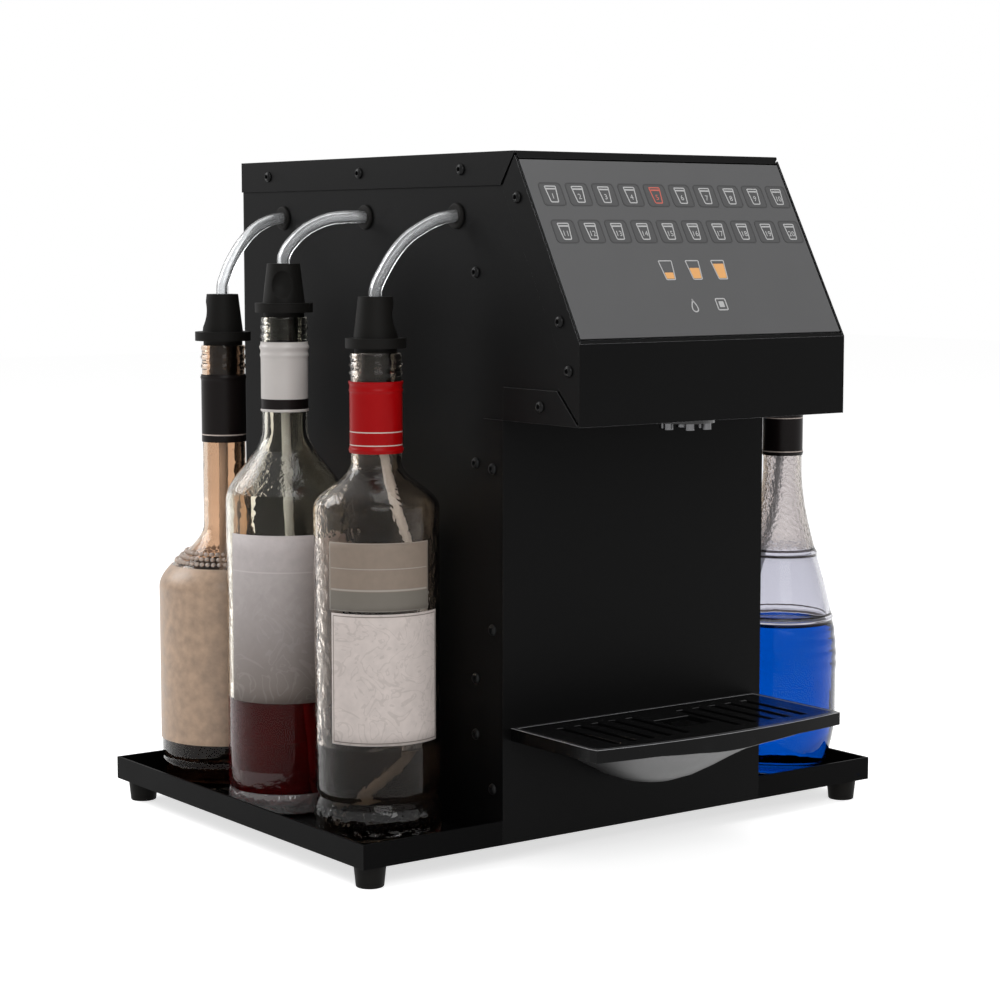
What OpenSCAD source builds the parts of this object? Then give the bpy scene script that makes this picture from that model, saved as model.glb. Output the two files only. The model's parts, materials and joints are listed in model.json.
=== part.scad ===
// Counter-top cocktail machine: a sheet-metal column with a pouring head stands in a low tray,
// bottles stand on both sides of it, and a glass goes on the drip tray under the head.
// Millimetres. +Z is up, -Y faces the person pouring, the origin is on the table under the middle.

/* [Casing] */
// Width of the column and its head
column_w = 210; // [190:1:240]
// Top of the casing above the tray's underside
casing_h = 420; // [405:1:460]
// Thickness of the casing's sheet metal
sheet = 1.2; // [0.8:0.1:2]
// Width of the folded flanges along the sides
flange_w = 20; // [16:1:24]
// Gap between two flanges at a mitred corner
seam = 1.5; // [0.2:0.1:2]

/* [Head] */
// Reach of the fascia in front of the column
head_reach = 74; // [68:1:90]
// Reach of the top's front edge in front of the column
top_reach = 10; // [4:1:20]
// Underside of the head above the tray's underside
head_floor_h = 260; // [240:1:275]
// Height of the fascia
fascia_h = 48; // [40:1:56]
// Thickness of the touch panel
glass_t = 2; // [1.5:0.1:4]
// Gap round the touch panel
glass_gap = 0.9; // [0.2:0.1:1]
// Depth of the lip that the top cover folds down over the slope
lip_h = 5; // [2:0.5:6]
// Width of the touch panel's circuit board
touch_board_w = 176; // [120:1:180]
// Height of the touch panel's circuit board, up the slope
touch_board_h = 92; // [60:1:100]
// Thickness of the circuit boards
board_t = 1.6; // [1:0.1:2.4]

/* [Base tray] */
// Height of the rim, floor included
tray_rim_h = 15; // [10:1:25]
// Thickness of the tray's sheet metal
tray_sheet = 1.5; // [1:0.1:3]
// Room on both sides of the widest bottle in its lane
lane_gap = 6; // [5:0.5:15]
// Gap between the tray's rear rim and the nearest bottle
rear_gap = 9.5; // [2:0.5:40]
// Gap between the tray's rear rim and the column
column_gap = 2; // [1.5:0.5:6]

/* [Feet] */
// Height of the rubber feet
foot_h = 14; // [8:1:25]
// Diameter of a foot at the tray
foot_top_d = 20; // [14:1:25]
// Diameter of a foot at the table
foot_bottom_d = 17; // [10:1:22]
// Diameter of the spigot that holds a foot in the tray's floor
foot_spigot_d = 6; // [4:0.5:9]
// Distance of a foot's middle from the tray's edges
foot_inset = 13; // [12.5:0.5:30]

/* [Drip tray] */
// Width of the drip tray
drip_w = 198; // [160:1:204]
// Reach of the drip tray in front of the column
drip_reach = 91; // [86:1:100]
// How far the middle of the front edge bows out past its corners
drip_bow = 8; // [4:0.5:14]
// Depth of the cut front corners
drip_corner = 6; // [4:1:20]
// Top of the drip tray above the base tray's underside
drip_top_h = 72; // [66:1:90]
// Height of the drip tray's upright rim
drip_rim_h = 8; // [6:0.5:14]
// Wall of the drip tray
drip_wall = 2; // [1.5:0.1:3]
// Width of the rim round the grille
drip_rim_w = 3; // [2:0.5:5]
// Width of the ledge that the grille rests on
drip_ledge = 4; // [2:0.5:6]
// Depth of the rounded basin below the rim
basin_depth = 34; // [20:1:38]
// Radius of the basin where it flares into the rim
basin_r = 95; // [70:1:98]
// Radius of the basin's flat bottom
basin_flat_r = 6; // [4:1:30]
// Distance of the middle of the basin in front of the column
basin_reach = 12; // [0:1:30]
// Length of the tongues that hold the drip tray in the column
tongue_l = 24; // [15:1:32]
// Width of a tongue
tongue_w = 40; // [20:1:50]
// Thickness of a tongue
tongue_t = 4; // [3:0.5:5]
// Distance of a tongue's middle from the machine's middle
tongue_x = 45; // [32:1:60]
// Wall of the socket that takes the tongues
socket_wall = 3; // [2:0.5:5]

/* [Drip grille] */
// Thickness of the grille
grille_t = 3; // [2:0.5:4]
// Width of a slot
slot_w = 5; // [3:0.5:7]
// Length of a slot
slot_l = 56; // [30:1:60]
// Distance between the middles of two slots
slot_pitch = 13.6; // [9:0.1:14]
// Slots on each side of the square hole
slot_count = 5; // [3:1:5]
// Distance of the first slot from the machine's middle
slot_first = 20.6; // [18:0.2:26]
// Width of the square hole in the middle
drain_w = 28; // [14:1:30]
// Depth of the square hole in the middle
drain_d = 24; // [14:1:30]

/* [Nozzle] */
// Distance of the nozzle's middle in front of the column
nozzle_reach = 45; // [40:1:48]
// Diameter of the nozzle
nozzle_d = 36; // [30:1:44]
// Drop of the nozzle below the head's floor
nozzle_drop = 3; // [3:0.5:12]
// Diameter of a pouring tip
tip_d = 6; // [4:0.5:8]
// Bore of a pouring tip
tip_bore = 3.5; // [2:0.5:5]
// Drop of the tips below the nozzle
tip_drop = 4; // [2:0.5:8]
// How far a tip is set into the nozzle
tip_set = 4; // [2:0.5:6]
// Diameter of the ring of tips
tip_ring_d = 27; // [18:1:28]
// Width of the manifold inside the head
manifold_w = 54; // [52:1:70]
// Depth of the manifold inside the head
manifold_d = 44; // [40:1:48]
// Height of the manifold inside the head
manifold_h = 22; // [14:1:26]

/* [Hoses and grommets] */
// Outer diameter of the hoses outside
hose_d = 8; // [6:0.5:9]
// Bore of the hoses outside
hose_bore = 5; // [3:0.5:5.5]
// Diameter of the dip tubes in the bottles
dip_d = 6; // [4:0.5:7]
// Gap between a dip tube's foot and the bottle's floor
dip_gap = 5; // [3:0.5:15]
// Diameter of a grommet's flange
grommet_d = 16; // [14:0.5:20]
// Diameter of a grommet's waist, in the panel's hole
grommet_waist_d = 12; // [11:0.5:13]
// Thickness of a grommet's flanges
grommet_t = 2; // [1:0.5:3]
// Height of the grommets above the tray's underside
grommet_h = 382; // [370:1:388]
// Distance of the first grommet behind the column's front
grommet_first = 49; // [42:1:60]
// Distance between two grommets
grommet_pitch = 101; // [70:1:102]
// Straight stretch of a hose above its stopper
hose_straight = 3; // [2:0.5:6]

/* [Stoppers] */
// Length of the plug in the bottle's mouth
plug_l = 20; // [12:1:30]
// Height of the collar on the bottle's mouth
collar_h = 3; // [2:0.5:6]
// Diameter of the collar
collar_d = 26; // [22:1:30]
// Diameter of the flange
stopper_flange_d = 37; // [30:1:40]
// Thickness of the flange
stopper_flange_t = 6; // [4:0.5:8]
// Height of the finger grip
grip_h = 25; // [18:1:32]
// Diameter of the grip at the flange
grip_low_d = 27; // [23:0.5:29]
// Diameter of the grip at the top
grip_top_d = 21; // [18:0.5:24]
// Depth of the thumb hollow
thumb_depth = 4; // [1:0.5:5]
// Radius of the thumb hollow
thumb_r = 12; // [8:1:20]
// How deep the hose goes into the stopper
hose_set = 10; // [6:1:15]

/* [Bottles] */
// Thickness of the glass
glass_wall = 3; // [2:0.5:5]
// Thickness of a bottle's floor
bottle_floor = 6; // [4:0.5:10]
// Diameter of a bottle's mouth
mouth_d = 18.6; // [16:0.2:20]
// Gaps along the left row: rim to front bottle, then bottle to bottle
left_gaps = [22, 29, 2.5]; // [0:0.5:60]
// Gaps along the right row: rim to front bottle, then bottle to bottle
right_gaps = [3.5, 24, 24]; // [0:0.5:60]
// Shift of the left bottles away from the column, front to rear
left_shifts = [0, 0, -4]; // [-5:0.5:5]
// Shift of the right bottles away from the column, front to rear
right_shifts = [8, 0, 0]; // [-5:0.5:10]

/* [Straight bottle] */
// Body diameter
straight_d = 77; // [60:1:80]
// Height where the shoulder starts
straight_body_h = 204; // [150:1:215]
// Height of the shoulder
straight_shoulder_h = 28; // [15:1:30]
// Diameter of the neck
straight_neck_d = 31; // [28:0.5:34]
// Height of the mouth
straight_h = 298; // [275:1:300]

/* [Sloping bottle] */
// Body diameter
sloping_d = 77; // [60:1:80]
// Height where the shoulder starts
sloping_body_h = 199; // [150:1:205]
// Height of the shoulder
sloping_shoulder_h = 46; // [30:1:50]
// Diameter of the neck
sloping_neck_d = 29; // [28:0.5:34]
// Height of the mouth
sloping_h = 317; // [290:1:318]

/* [Decanter bottle] */
// Body diameter
decanter_d = 88; // [70:1:96]
// Height where the shoulder starts
decanter_body_h = 134; // [100:1:145]
// Height of the shoulder
decanter_shoulder_h = 42; // [30:1:50]
// Diameter of the neck
decanter_neck_d = 28.5; // [28:0.5:34]
// Height of the mouth
decanter_h = 296; // [270:1:300]

/* [Pin bottle] */
// Body diameter
pin_d = 76; // [60:1:80]
// Diameter of the foot
pin_foot_d = 56; // [44:1:60]
// Height of the curve from the foot to the body
pin_foot_h = 45; // [20:1:60]
// Height where the shoulder starts
pin_body_h = 80; // [65:1:100]
// Height of the shoulder
pin_shoulder_h = 135; // [90:1:140]
// Diameter of the neck
pin_neck_d = 26; // [25:0.5:30]
// Height of the mouth
pin_h = 285; // [270:1:295]

/* [Pumps] */
// Height of the pumps' shafts above the tray's underside
pump_h = 238; // [232:1:244]
// Half the distance between the bracket's two walls
bracket_half = 40; // [38:1:44]
// Height of the bracket's walls
bracket_h = 80; // [70:1:84]
// Radius of a rotor over its lobes
rotor_r = 11.2; // [9:0.2:11.6]
// Radius of a rotor's lobe
lobe_r = 3.2; // [2.4:0.2:3.6]
// Radius of a rotor's shaft
shaft_r = 3; // [2:0.1:3.4]
// Diameter of the hoses through the pumps
pump_hose_d = 6; // [4:0.5:6]
// Thickness of a pump head
pump_head_t = 20; // [16:1:24]
// Thickness of a pump head's back
pump_back_t = 3; // [2:0.5:5]
// Wall round the hose's race
pump_wall = 3.5; // [2:0.5:5]
// Thickness of a pump's cover
pump_cover_t = 2; // [1:0.5:4]
// Diameter of a pump motor
motor_d = 28; // [20:1:32]
// Length of a pump motor
motor_l = 32; // [20:1:34]
// Height of the hoses' run to the head above the tray's underside
lane_h = 304; // [300:1:310]
// Distance between two hoses in the run to the head
lane_pitch = 8; // [7:0.5:8.5]
// Radius of the hoses' bends
bend_r = 14; // [10:0.5:14.5]

/* [Electrics] */
// Width of the power supply
supply_w = 98; // [80:1:110]
// Length of the power supply
supply_l = 150; // [100:1:160]
// Height of the power supply
supply_h = 38; // [30:1:45]
// Width of the control board
control_w = 130; // [90:1:160]
// Length of the control board
control_l = 84; // [60:1:86]
// Height of the control board's standoffs
standoff_h = 10; // [6:1:14]
// Diameter of the standoffs
standoff_d = 7; // [5:0.5:9]
// Distance of the standoffs from the board's edges
standoff_inset = 7; // [5:0.5:10]

/* [Rear panel] */
// Distance of the inlet and switch from the column's side
inlet_inset = 31; // [30:1:34]
// Height of the mains inlet above the tray's underside
inlet_h = 48; // [40:1:70]
// Height of the switch above the tray's underside
switch_h = 92; // [88:1:140]
// Width of a vent
vent_w = 60; // [40:1:70]
// Height of a vent
vent_h = 3.5; // [2:0.5:5]
// Distance between two vents
vent_pitch = 10; // [8:0.5:12]
// Vents in a column
vent_count = 9; // [4:1:12]
// Height of the lowest vent above the tray's underside
vent_first = 160; // [150:1:220]

/* [Screws] */
// Diameter of a screw's shank
screw_d = 3.6; // [3:0.1:4]
// Diameter of a screw's head
screw_head_d = 7; // [5.5:0.1:8]
// Height of a screw's head
screw_head_h = 2; // [1:0.1:3]
// Length of a screw's shank
screw_l = 7; // [5:0.5:10]

/* [Fits] */
// Radial clearance of a shaft in its bore
running_gap = 0.05; // [0.02:0.01:0.1]
// Clearance of a fixed piece in its hole
hole_gap = 0.1; // [0.05:0.05:0.3]
// Clearance of a piece that slides or lifts out
slide_gap = 0.3; // [0.2:0.05:0.6]

/* [Hidden] */
$fn = 64;
BLACK = [0.035, 0.035, 0.04];
RUBBER = [0.05, 0.05, 0.05];
CLEAR = [0.85, 0.88, 0.9, 0.5];
STEEL = [0.6, 0.62, 0.64];
GREEN = [0.05, 0.3, 0.15];

places = ["left_front", "left_middle", "left_rear", "right_front", "right_middle", "right_rear"];
// Extra length that carries a cut past a face
past = 1;

// Bottle shapes: body radius, foot radius, foot height, shoulder start, shoulder height, neck radius, mouth
foot_round = 3;
straight = [straight_d / 2, straight_d / 2 - foot_round, foot_round,
            straight_body_h, straight_shoulder_h, straight_neck_d / 2, straight_h];
sloping = [sloping_d / 2, sloping_d / 2 - foot_round, foot_round,
           sloping_body_h, sloping_shoulder_h, sloping_neck_d / 2, sloping_h];
decanter = [decanter_d / 2, decanter_d / 2 - foot_round, foot_round,
            decanter_body_h, decanter_shoulder_h, decanter_neck_d / 2, decanter_h];
pin = [pin_d / 2, pin_foot_d / 2, pin_foot_h, pin_body_h, pin_shoulder_h, pin_neck_d / 2, pin_h];
left_row = [straight, sloping, decanter];
right_row = [pin, straight, sloping];
shapes = concat(left_row, right_row);

// Distance of bottle i's axis behind the tray's front, along a row with these gaps
function row_y(row, gaps, i) = i == 0
  ? tray_sheet + gaps[0] + row[0][0]
  : row_y(row, gaps, i - 1) + row[i - 1][0] + gaps[i] + row[i][0];
lane_w = max([for (s = shapes) 2 * s[0]]) + 2 * lane_gap;
tray_w = column_w + 2 * (lane_w + tray_sheet);
tray_d = max(row_y(left_row, left_gaps, 2) + left_row[2][0],
             row_y(right_row, right_gaps, 2) + right_row[2][0]) + rear_gap + tray_sheet;
column_d = tray_d - tray_sheet - column_gap;

// Planes of the frame
y_front = (drip_reach - tray_d) / 2;
y_back = y_front + column_d;
z_base = foot_h;
z_floor = z_base + tray_sheet;
z_top = z_base + casing_h;
z_head = z_base + head_floor_h;
z_fascia = z_head + fascia_h;
y_fascia = y_front - head_reach;
y_nozzle = y_front - nozzle_reach;
half = column_w / 2;
inlet_x = half - inlet_inset;
panel_out = half - sheet;
panel_in = panel_out - sheet;

// Side outline of the casing in (y, z), anticlockwise from the bottom of the back
casing = [[y_back, z_base], [y_back, z_top], [y_front - top_reach, z_top], [y_fascia, z_fascia],
          [y_fascia, z_head], [y_front, z_head], [y_front, z_base]];

function unit(v) = v / norm(v);
function edge_dir(p, i) = unit(p[(i + 1) % len(p)] - p[i]);
function edge_in(p, i) = [-edge_dir(p, i)[1], edge_dir(p, i)[0]];
// Corner i of an outline whose edges have moved inwards by the distances d
function inset_corner(p, d, i) =
  let (j = (i + len(p) - 1) % len(p), a = edge_in(p, j), b = edge_in(p, i))
  let (det = a[0] * b[1] - a[1] * b[0])
  p[i] + [d[j] * b[1] - d[i] * a[1], a[0] * d[i] - b[0] * d[j]] / det;
function inset(p, d) = [for (i = [0 : len(p) - 1]) inset_corner(p, d, i)];

// Edges of the casing: back, top, slope, fascia, head floor, front, bottom
panel_line = inset(casing, [sheet, sheet, glass_t + sheet, sheet, sheet, sheet, tray_sheet]);
flange_line = inset(casing, [for (p = casing) flange_w]);
bed_line = inset(casing, [0, sheet, glass_t, 0, 0, 0, 0]);
under_top = inset(casing, [0, sheet, 0, 0, 0, 0, 0])[2];
below_top = inset(casing, [0, sheet + seam, 0, 0, 0, 0, 0])[2];
fascia_lip = inset(casing, [0, 0, 0, sheet, 0, 0, 0])[3];
slope_dir = edge_dir(casing, 2);
slope_in = edge_in(casing, 2);
slope_len = norm(casing[3] - casing[2]);
slope_angle = atan2(-slope_dir[1], -slope_dir[0]);
lip_thick = sheet / cos(slope_angle);

// Screws along the flanges and sides, as (y, z)
top_ends = [43, 36];
top_screws = [for (i = [0 : 2])
  [y_front + top_ends[0] + i * (column_d - top_ends[0] - top_ends[1]) / 2, z_top - flange_w / 2]];
slope_ends = [26, 20];
slope_screws = [for (a = [slope_ends[0], slope_len - slope_ends[1]])
  casing[2] + a * slope_dir + flange_w / 2 * slope_in];
fascia_screws = [[y_fascia + flange_w / 2, z_head + fascia_h * 2 / 3]];
floor_screws = [[(y_fascia + y_front) / 2, z_head + flange_w / 2]];
front_ends = [33, 30];
front_screws = [for (i = [0 : 2])
  [y_front + flange_w / 2,
   z_base + front_ends[0] + i * (head_floor_h - front_ends[0] - front_ends[1]) / 2]];
flange_screws = concat(top_screws, slope_screws, fascia_screws, floor_screws, front_screws);
side_screw_y = flange_w + 9;
side_screw_heights = [64, 99, 232, 348];
side_screws = [for (h = side_screw_heights) [y_front + side_screw_y, z_base + h]];
rear_flange_w = 14;
rear_ends = [30, 40];
rear_screws = [for (s = [-1, 1], i = [0 : 2])
  [s * (panel_in - rear_flange_w / 2),
   z_floor + rear_ends[0] + i * (z_top - z_floor - rear_ends[0] - rear_ends[1]) / 2]];

// Hose places
hose_r = hose_d / 2;
dip_r = dip_d / 2;
function side(i) = i < 3 ? -1 : 1;
function bottle_at(i) = i < 3
  ? [-(half + lane_w / 2 + left_shifts[i]), y_front + row_y(left_row, left_gaps, i), z_floor]
  : [half + lane_w / 2 + right_shifts[i - 3], y_front + row_y(right_row, right_gaps, i - 3), z_floor];
function grommet_at(i) =
  [side(i) * panel_out, y_front + grommet_first + i % 3 * grommet_pitch, z_base + grommet_h];
stopper_h = collar_h + stopper_flange_t + grip_h;
function stopper_top(i) = bottle_at(i) + [0, 0, shapes[i][6] + stopper_h];
// Free stretch of each hose: millimetres out from the grommet's mouth and down from it
hose_paths = [
  [[10, 2], [20, 7], [30, 14], [38.5, 24], [45, 35], [48, 41]],
  [[11, 0], [22, 1.5], [33, 6.5], [40, 12], [46, 19], [48.5, 24]],
  [[10, 2], [21, 8], [31, 18], [39, 30], [43, 39], [44.8, 44]],
  [[14, 2], [28, 7], [39, 16], [48, 30], [54, 46]],
  [[10, 2], [20, 7], [29, 14], [37, 25], [45, 37]],
  [[10, 0], [20, 1], [29, 4], [37, 10], [43, 18]]];
thumb_angles = [-36, -126, 144, -36, -126, -36];
// Direction in which each dip tube leaves its bottle's axis
dip_angles = [-36, -36, 180, 144, 90, 0];
// Runs of a dip tube, as shares of the room beside it and of the height below the shoulder
dip_leaning = [[0.05, 1], [0.15, 0.7], [0.3, 0.35], [0.45, 0]];
dip_curled = [
  [0.32, 1.24], [0.54, 1.11], [0.4, 0.98], [0.7, 0.83], [0.89, 0.67],
  [0.89, 0.49], [0.74, 0.33], [0.4, 0.21], [-0.12, 0.1], [-0.62, 0.01]];
dip_aside = [[0.5, 2.6], [0.75, 2], [0.8, 1.4], [0.75, 0.7], [0.6, 0]];
dip_runs = [dip_curled, dip_leaning, dip_leaning, dip_aside, dip_leaning, dip_leaning];

// Pump places, for the right side
loop_gap = 0.8;
loop_r = rotor_r + pump_hose_d / 2 + loop_gap;
race_r = loop_r + pump_hose_d / 2 + slide_gap;
pump_head_w = 2 * (race_r + pump_wall);
z_pump = z_base + pump_h;
bracket_out = bracket_half + sheet;
bracket_base = z_pump - bracket_h / 2;
hose_x = bracket_out + pump_back_t + (pump_head_t - pump_back_t) / 2;
function pump_y(i) = grommet_at(i)[1] + loop_r;
// The run's hoses lie half a pitch and more from the middle, the rear pump's hose nearest to it
function lane_x(i) = lane_pitch * (2.5 - i % 3);
z_manifold = z_head + sheet + manifold_h;
socket_r = pump_hose_d / 2 + hole_gap;
socket_set = 4;

// Sheet between two x planes with its outline in (y, z)
module yz_plate(points, x0, x1) {
  translate([x0, 0, 0]) rotate([90, 0, 90]) linear_extrude(x1 - x0) polygon(points);
}

module both_sides() {
  children();
  mirror([1, 0, 0]) children();
}

// Holes across the whole width at (y, z) places
module cross_holes(places, r) {
  for (p = places)
    translate([0, p[0], p[1]]) rotate([0, 90, 0]) cylinder(r = r, h = 2 * column_w, center = true);
}

// Frame of the slope: x across, y up the slope from the fascia, z out of it
module on_slope() {
  translate([0, y_fascia, z_fascia]) rotate([slope_angle, 0, 0]) children();
}

// Box with its middle at x = 0
module mid_box(w, y0, y1, z0, z1) {
  translate([-w / 2, y0, z0]) cube([w, y1 - y0, z1 - z0]);
}

function ring_dir(p, i) = unit(
  (i > 0 ? unit(p[i] - p[i - 1]) : [0, 0, 0]) + (i < len(p) - 1 ? unit(p[i + 1] - p[i]) : [0, 0, 0]));
function square_to(n, t) = unit(n - (n * t) * t);
// Ring normals that turn with the path and never twist about it
function ring_normals(t) = [
  for (i = 0, n = square_to(abs(t[0][1]) < 0.9 ? [0, 1, 0] : [1, 0, 0], t[0]);
       i < len(t);
       i = i + 1, n = i < len(t) ? square_to(n, t[i]) : n) n];
function rings(p, t, n, r, sides) = [
  for (i = [0 : len(p) - 1], k = [0 : sides - 1])
    let (a = 360 * k / sides) p[i] + r * (cos(a) * n[i] + sin(a) * cross(t[i], n[i]))];

// Round tube swept along points, with a bore if one is given
module tube(p, r, sides, bore_r = 0) {
  t = [for (i = [0 : len(p) - 1]) ring_dir(p, i)];
  n = ring_normals(t);
  last = len(p) - 1;
  inner = len(p) * sides;
  function v(i, k) = i * sides + k % sides;
  walls = [for (i = [0 : last - 1], k = [0 : sides - 1])
    each [[v(i, k), v(i + 1, k), v(i + 1, k + 1)], [v(i, k), v(i + 1, k + 1), v(i, k + 1)]]];
  if (bore_r == 0) {
    ends = [[for (k = [0 : sides - 1]) v(0, k)], [for (k = [sides - 1 : -1 : 0]) v(last, k)]];
    polyhedron(rings(p, t, n, r, sides), concat(walls, ends), convexity = 10);
  } else {
    bore = [for (f = walls) [inner + f[0], inner + f[2], inner + f[1]]];
    ends = [for (k = [0 : sides - 1]) each [
      [v(0, k), v(0, k + 1), inner + v(0, k + 1)],
      [v(0, k), inner + v(0, k + 1), inner + v(0, k)],
      [v(last, k), inner + v(last, k + 1), v(last, k + 1)],
      [v(last, k), inner + v(last, k), inner + v(last, k + 1)]]];
    polyhedron(concat(rings(p, t, n, r, sides), rings(p, t, n, bore_r, sides)),
               concat(walls, bore, ends), convexity = 10);
  }
}

// Points of a round bend at corner c, between the points a and b
bend_steps = 4;
function bend(a, c, b) =
  let (u = unit(a - c), v = unit(b - c))
  [for (k = [0 : bend_steps])
    let (q = 90 * k / bend_steps) c + bend_r * (u * (1 - sin(q)) + v * (1 - cos(q)))];

module base_tray() {
  color(BLACK) difference() {
    mid_box(tray_w, y_front, y_front + tray_d, z_base, z_base + tray_rim_h);
    mid_box(tray_w - 2 * tray_sheet, y_front + tray_sheet, y_front + tray_d - tray_sheet,
            z_floor, z_base + tray_rim_h + past);
    mid_box(column_w, y_front - past, y_front + sheet, z_base - past, z_base + tray_rim_h + past);
    mid_box(column_w, y_front, y_front + tray_sheet + sheet, z_floor, z_base + tray_rim_h + past);
    for_feet() cylinder(d = foot_spigot_d + 2 * hole_gap, h = z_floor + past);
  }
}

module for_feet() {
  for (sx = [-1, 1], y = [y_front + foot_inset, y_front + tray_d - foot_inset])
    translate([sx * (tray_w / 2 - foot_inset), y, 0]) children();
}

module rubber_feet() {
  color(RUBBER) for_feet() rotate_extrude() polygon([
    [0, 0], [foot_bottom_d / 2, 0], [foot_top_d / 2, foot_h], [foot_spigot_d / 2, foot_h],
    [foot_spigot_d / 2, z_floor], [0, z_floor]]);
}

// The right panel; the left one mirrors it
module side_panel() {
  difference() {
    union() {
      yz_plate(panel_line, panel_in, panel_out);
      translate([panel_in - rear_flange_w, y_back - 2 * sheet, z_floor])
        cube([rear_flange_w + sheet / 2, sheet, z_top - sheet - z_floor]);
    }
    cross_holes(concat(flange_screws, side_screws), screw_d / 2 + hole_gap);
    cross_holes([for (i = [3 : 5]) [grommet_at(i)[1], grommet_at(i)[2]]], grommet_waist_d / 2 + hole_gap);
    rear_holes();
  }
}

module rear_holes() {
  for (p = rear_screws)
    translate([p[0], y_back + past, p[1]]) rotate([90, 0, 0])
      cylinder(d = screw_d + 2 * hole_gap, h = screw_l);
}

module right_side_panel() {
  color(BLACK) side_panel();
}

module left_side_panel() {
  color(BLACK) mirror([1, 0, 0]) side_panel();
}

module top_cover() {
  flange = [casing[1], under_top, flange_line[2] + [seam, 0], [y_back, z_top - flange_w]];
  lip_end = casing[2] + lip_h * slope_dir;
  lip = [under_top, lip_end, lip_end + glass_t * slope_in, bed_line[2]];
  color(BLACK) difference() {
    union() {
      yz_plate([casing[1], casing[2], under_top, [y_back, z_top - sheet]], -half, half);
      yz_plate(lip, -panel_out + glass_gap, panel_out - glass_gap);
      both_sides() yz_plate(flange, panel_out, half);
    }
    cross_holes(top_screws, screw_d / 2 + hole_gap);
  }
}

module head_cover() {
  slope = [bed_line[2], bed_line[3], panel_line[3], panel_line[2]];
  fascia = [casing[3], casing[4], casing[4] + [sheet, 0], fascia_lip];
  corner = casing[4] + [sheet, sheet + seam];
  flange = [below_top, casing[3], casing[4], corner, flange_line[4] + [0, seam],
            flange_line[3], flange_line[2] + seam * slope_dir];
  color(BLACK) difference() {
    union() {
      yz_plate(slope, -panel_out, panel_out);
      yz_plate(fascia, -half, half);
      both_sides() yz_plate(flange, panel_out, half);
    }
    on_slope() board_box(touch_board_w + 2 * slide_gap, touch_board_h + 2 * slide_gap, sheet + past);
    cross_holes(concat(slope_screws, fascia_screws), screw_d / 2 + hole_gap);
  }
}

// Box behind the touch panel, in the frame of the slope
module board_box(w, h, t) {
  translate([-w / 2, (slope_len - h) / 2, -glass_t - t]) cube([w, h, t]);
}

module touch_panel() {
  low = lip_thick + glass_gap;
  color([0.1, 0.1, 0.11]) on_slope()
    translate([-panel_out + glass_gap, low, -glass_t])
      cube([2 * (panel_out - glass_gap), slope_len - lip_h - glass_gap - low, glass_t]);
}

module touch_board() {
  color(GREEN) on_slope() board_box(touch_board_w, touch_board_h, board_t);
}

module head_floor() {
  flange = [[y_fascia + sheet, z_head], [y_front, z_head], [y_front, z_head + flange_w],
            flange_line[4] + [seam, 0]];
  color(BLACK) difference() {
    union() {
      mid_box(column_w, y_fascia + sheet, y_front + sheet, z_head, z_head + sheet);
      both_sides() yz_plate(flange, panel_out, half);
    }
    translate([0, y_nozzle, z_head - past]) cylinder(d = nozzle_d + 2 * hole_gap, h = sheet + 2 * past);
    cross_holes(floor_screws, screw_d / 2 + hole_gap);
  }
}

module front_panel() {
  color(BLACK) difference() {
    union() {
      mid_box(column_w, y_front, y_front + sheet, z_base, z_head);
      both_sides() translate([panel_out, y_front, z_floor]) cube([sheet, flange_w, z_head - z_floor]);
    }
    for_tongues() tongue_box(slide_gap, sheet + 2 * past, -past);
    cross_holes(front_screws, screw_d / 2 + hole_gap);
  }
}

module rear_panel() {
  color(BLACK) difference() {
    mid_box(2 * panel_out, y_back - sheet, y_back, z_floor, z_top - sheet);
    for (sx = [-1, 1], k = [0 : vent_count - 1])
      translate([sx * (half / 2) - vent_w / 2, y_back - 2 * sheet, z_base + vent_first + k * vent_pitch])
        cube([vent_w, 3 * sheet, vent_h]);
    on_rear(inlet_h) rear_box(inlet_body, hole_gap, sheet + 2 * past, -past);
    on_rear(switch_h) rear_box(switch_body, hole_gap, sheet + 2 * past, -past);
    rear_holes();
  }
}

// Button-head screw with a hexagon socket, its seat at z = 0
module screw() {
  head_r = screw_head_d / 2;
  edge_h = screw_head_h * 0.3;
  crown_r = head_r * 0.6;
  key_floor = screw_head_h * 0.4;
  key_d = screw_d * 0.75;
  difference() {
    rotate_extrude() polygon([[0, -screw_l], [screw_d / 2, -screw_l], [screw_d / 2, 0], [head_r, 0],
      [head_r, edge_h], [crown_r, screw_head_h], [0, screw_head_h]]);
    translate([0, 0, key_floor]) cylinder(d = key_d, h = screw_head_h, $fn = 6);
  }
}

module casing_screws() {
  color(STEEL / 3) {
    both_sides() {
      for (p = flange_screws) translate([half, p[0], p[1]]) rotate([0, 90, 0]) screw();
      for (p = side_screws) translate([panel_out, p[0], p[1]]) rotate([0, 90, 0]) screw();
    }
    for (p = rear_screws) translate([p[0], y_back, p[1]]) rotate([-90, 0, 0]) screw();
  }
}

module hose_grommets() {
  bore = hose_r + hole_gap;
  waist = grommet_waist_d / 2;
  rim = grommet_d / 2;
  inner_rim = rim - 1;
  bevel = grommet_t * 0.4;
  color(RUBBER) both_sides() for (i = [3 : 5])
    translate(grommet_at(i)) rotate([0, 90, 0]) rotate_extrude() polygon([
      [bore, -sheet - grommet_t], [inner_rim, -sheet - grommet_t], [inner_rim, -sheet], [waist, -sheet],
      [waist, 0], [rim, 0], [rim, grommet_t - bevel], [rim - bevel, grommet_t], [bore, grommet_t]]);
}

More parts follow.
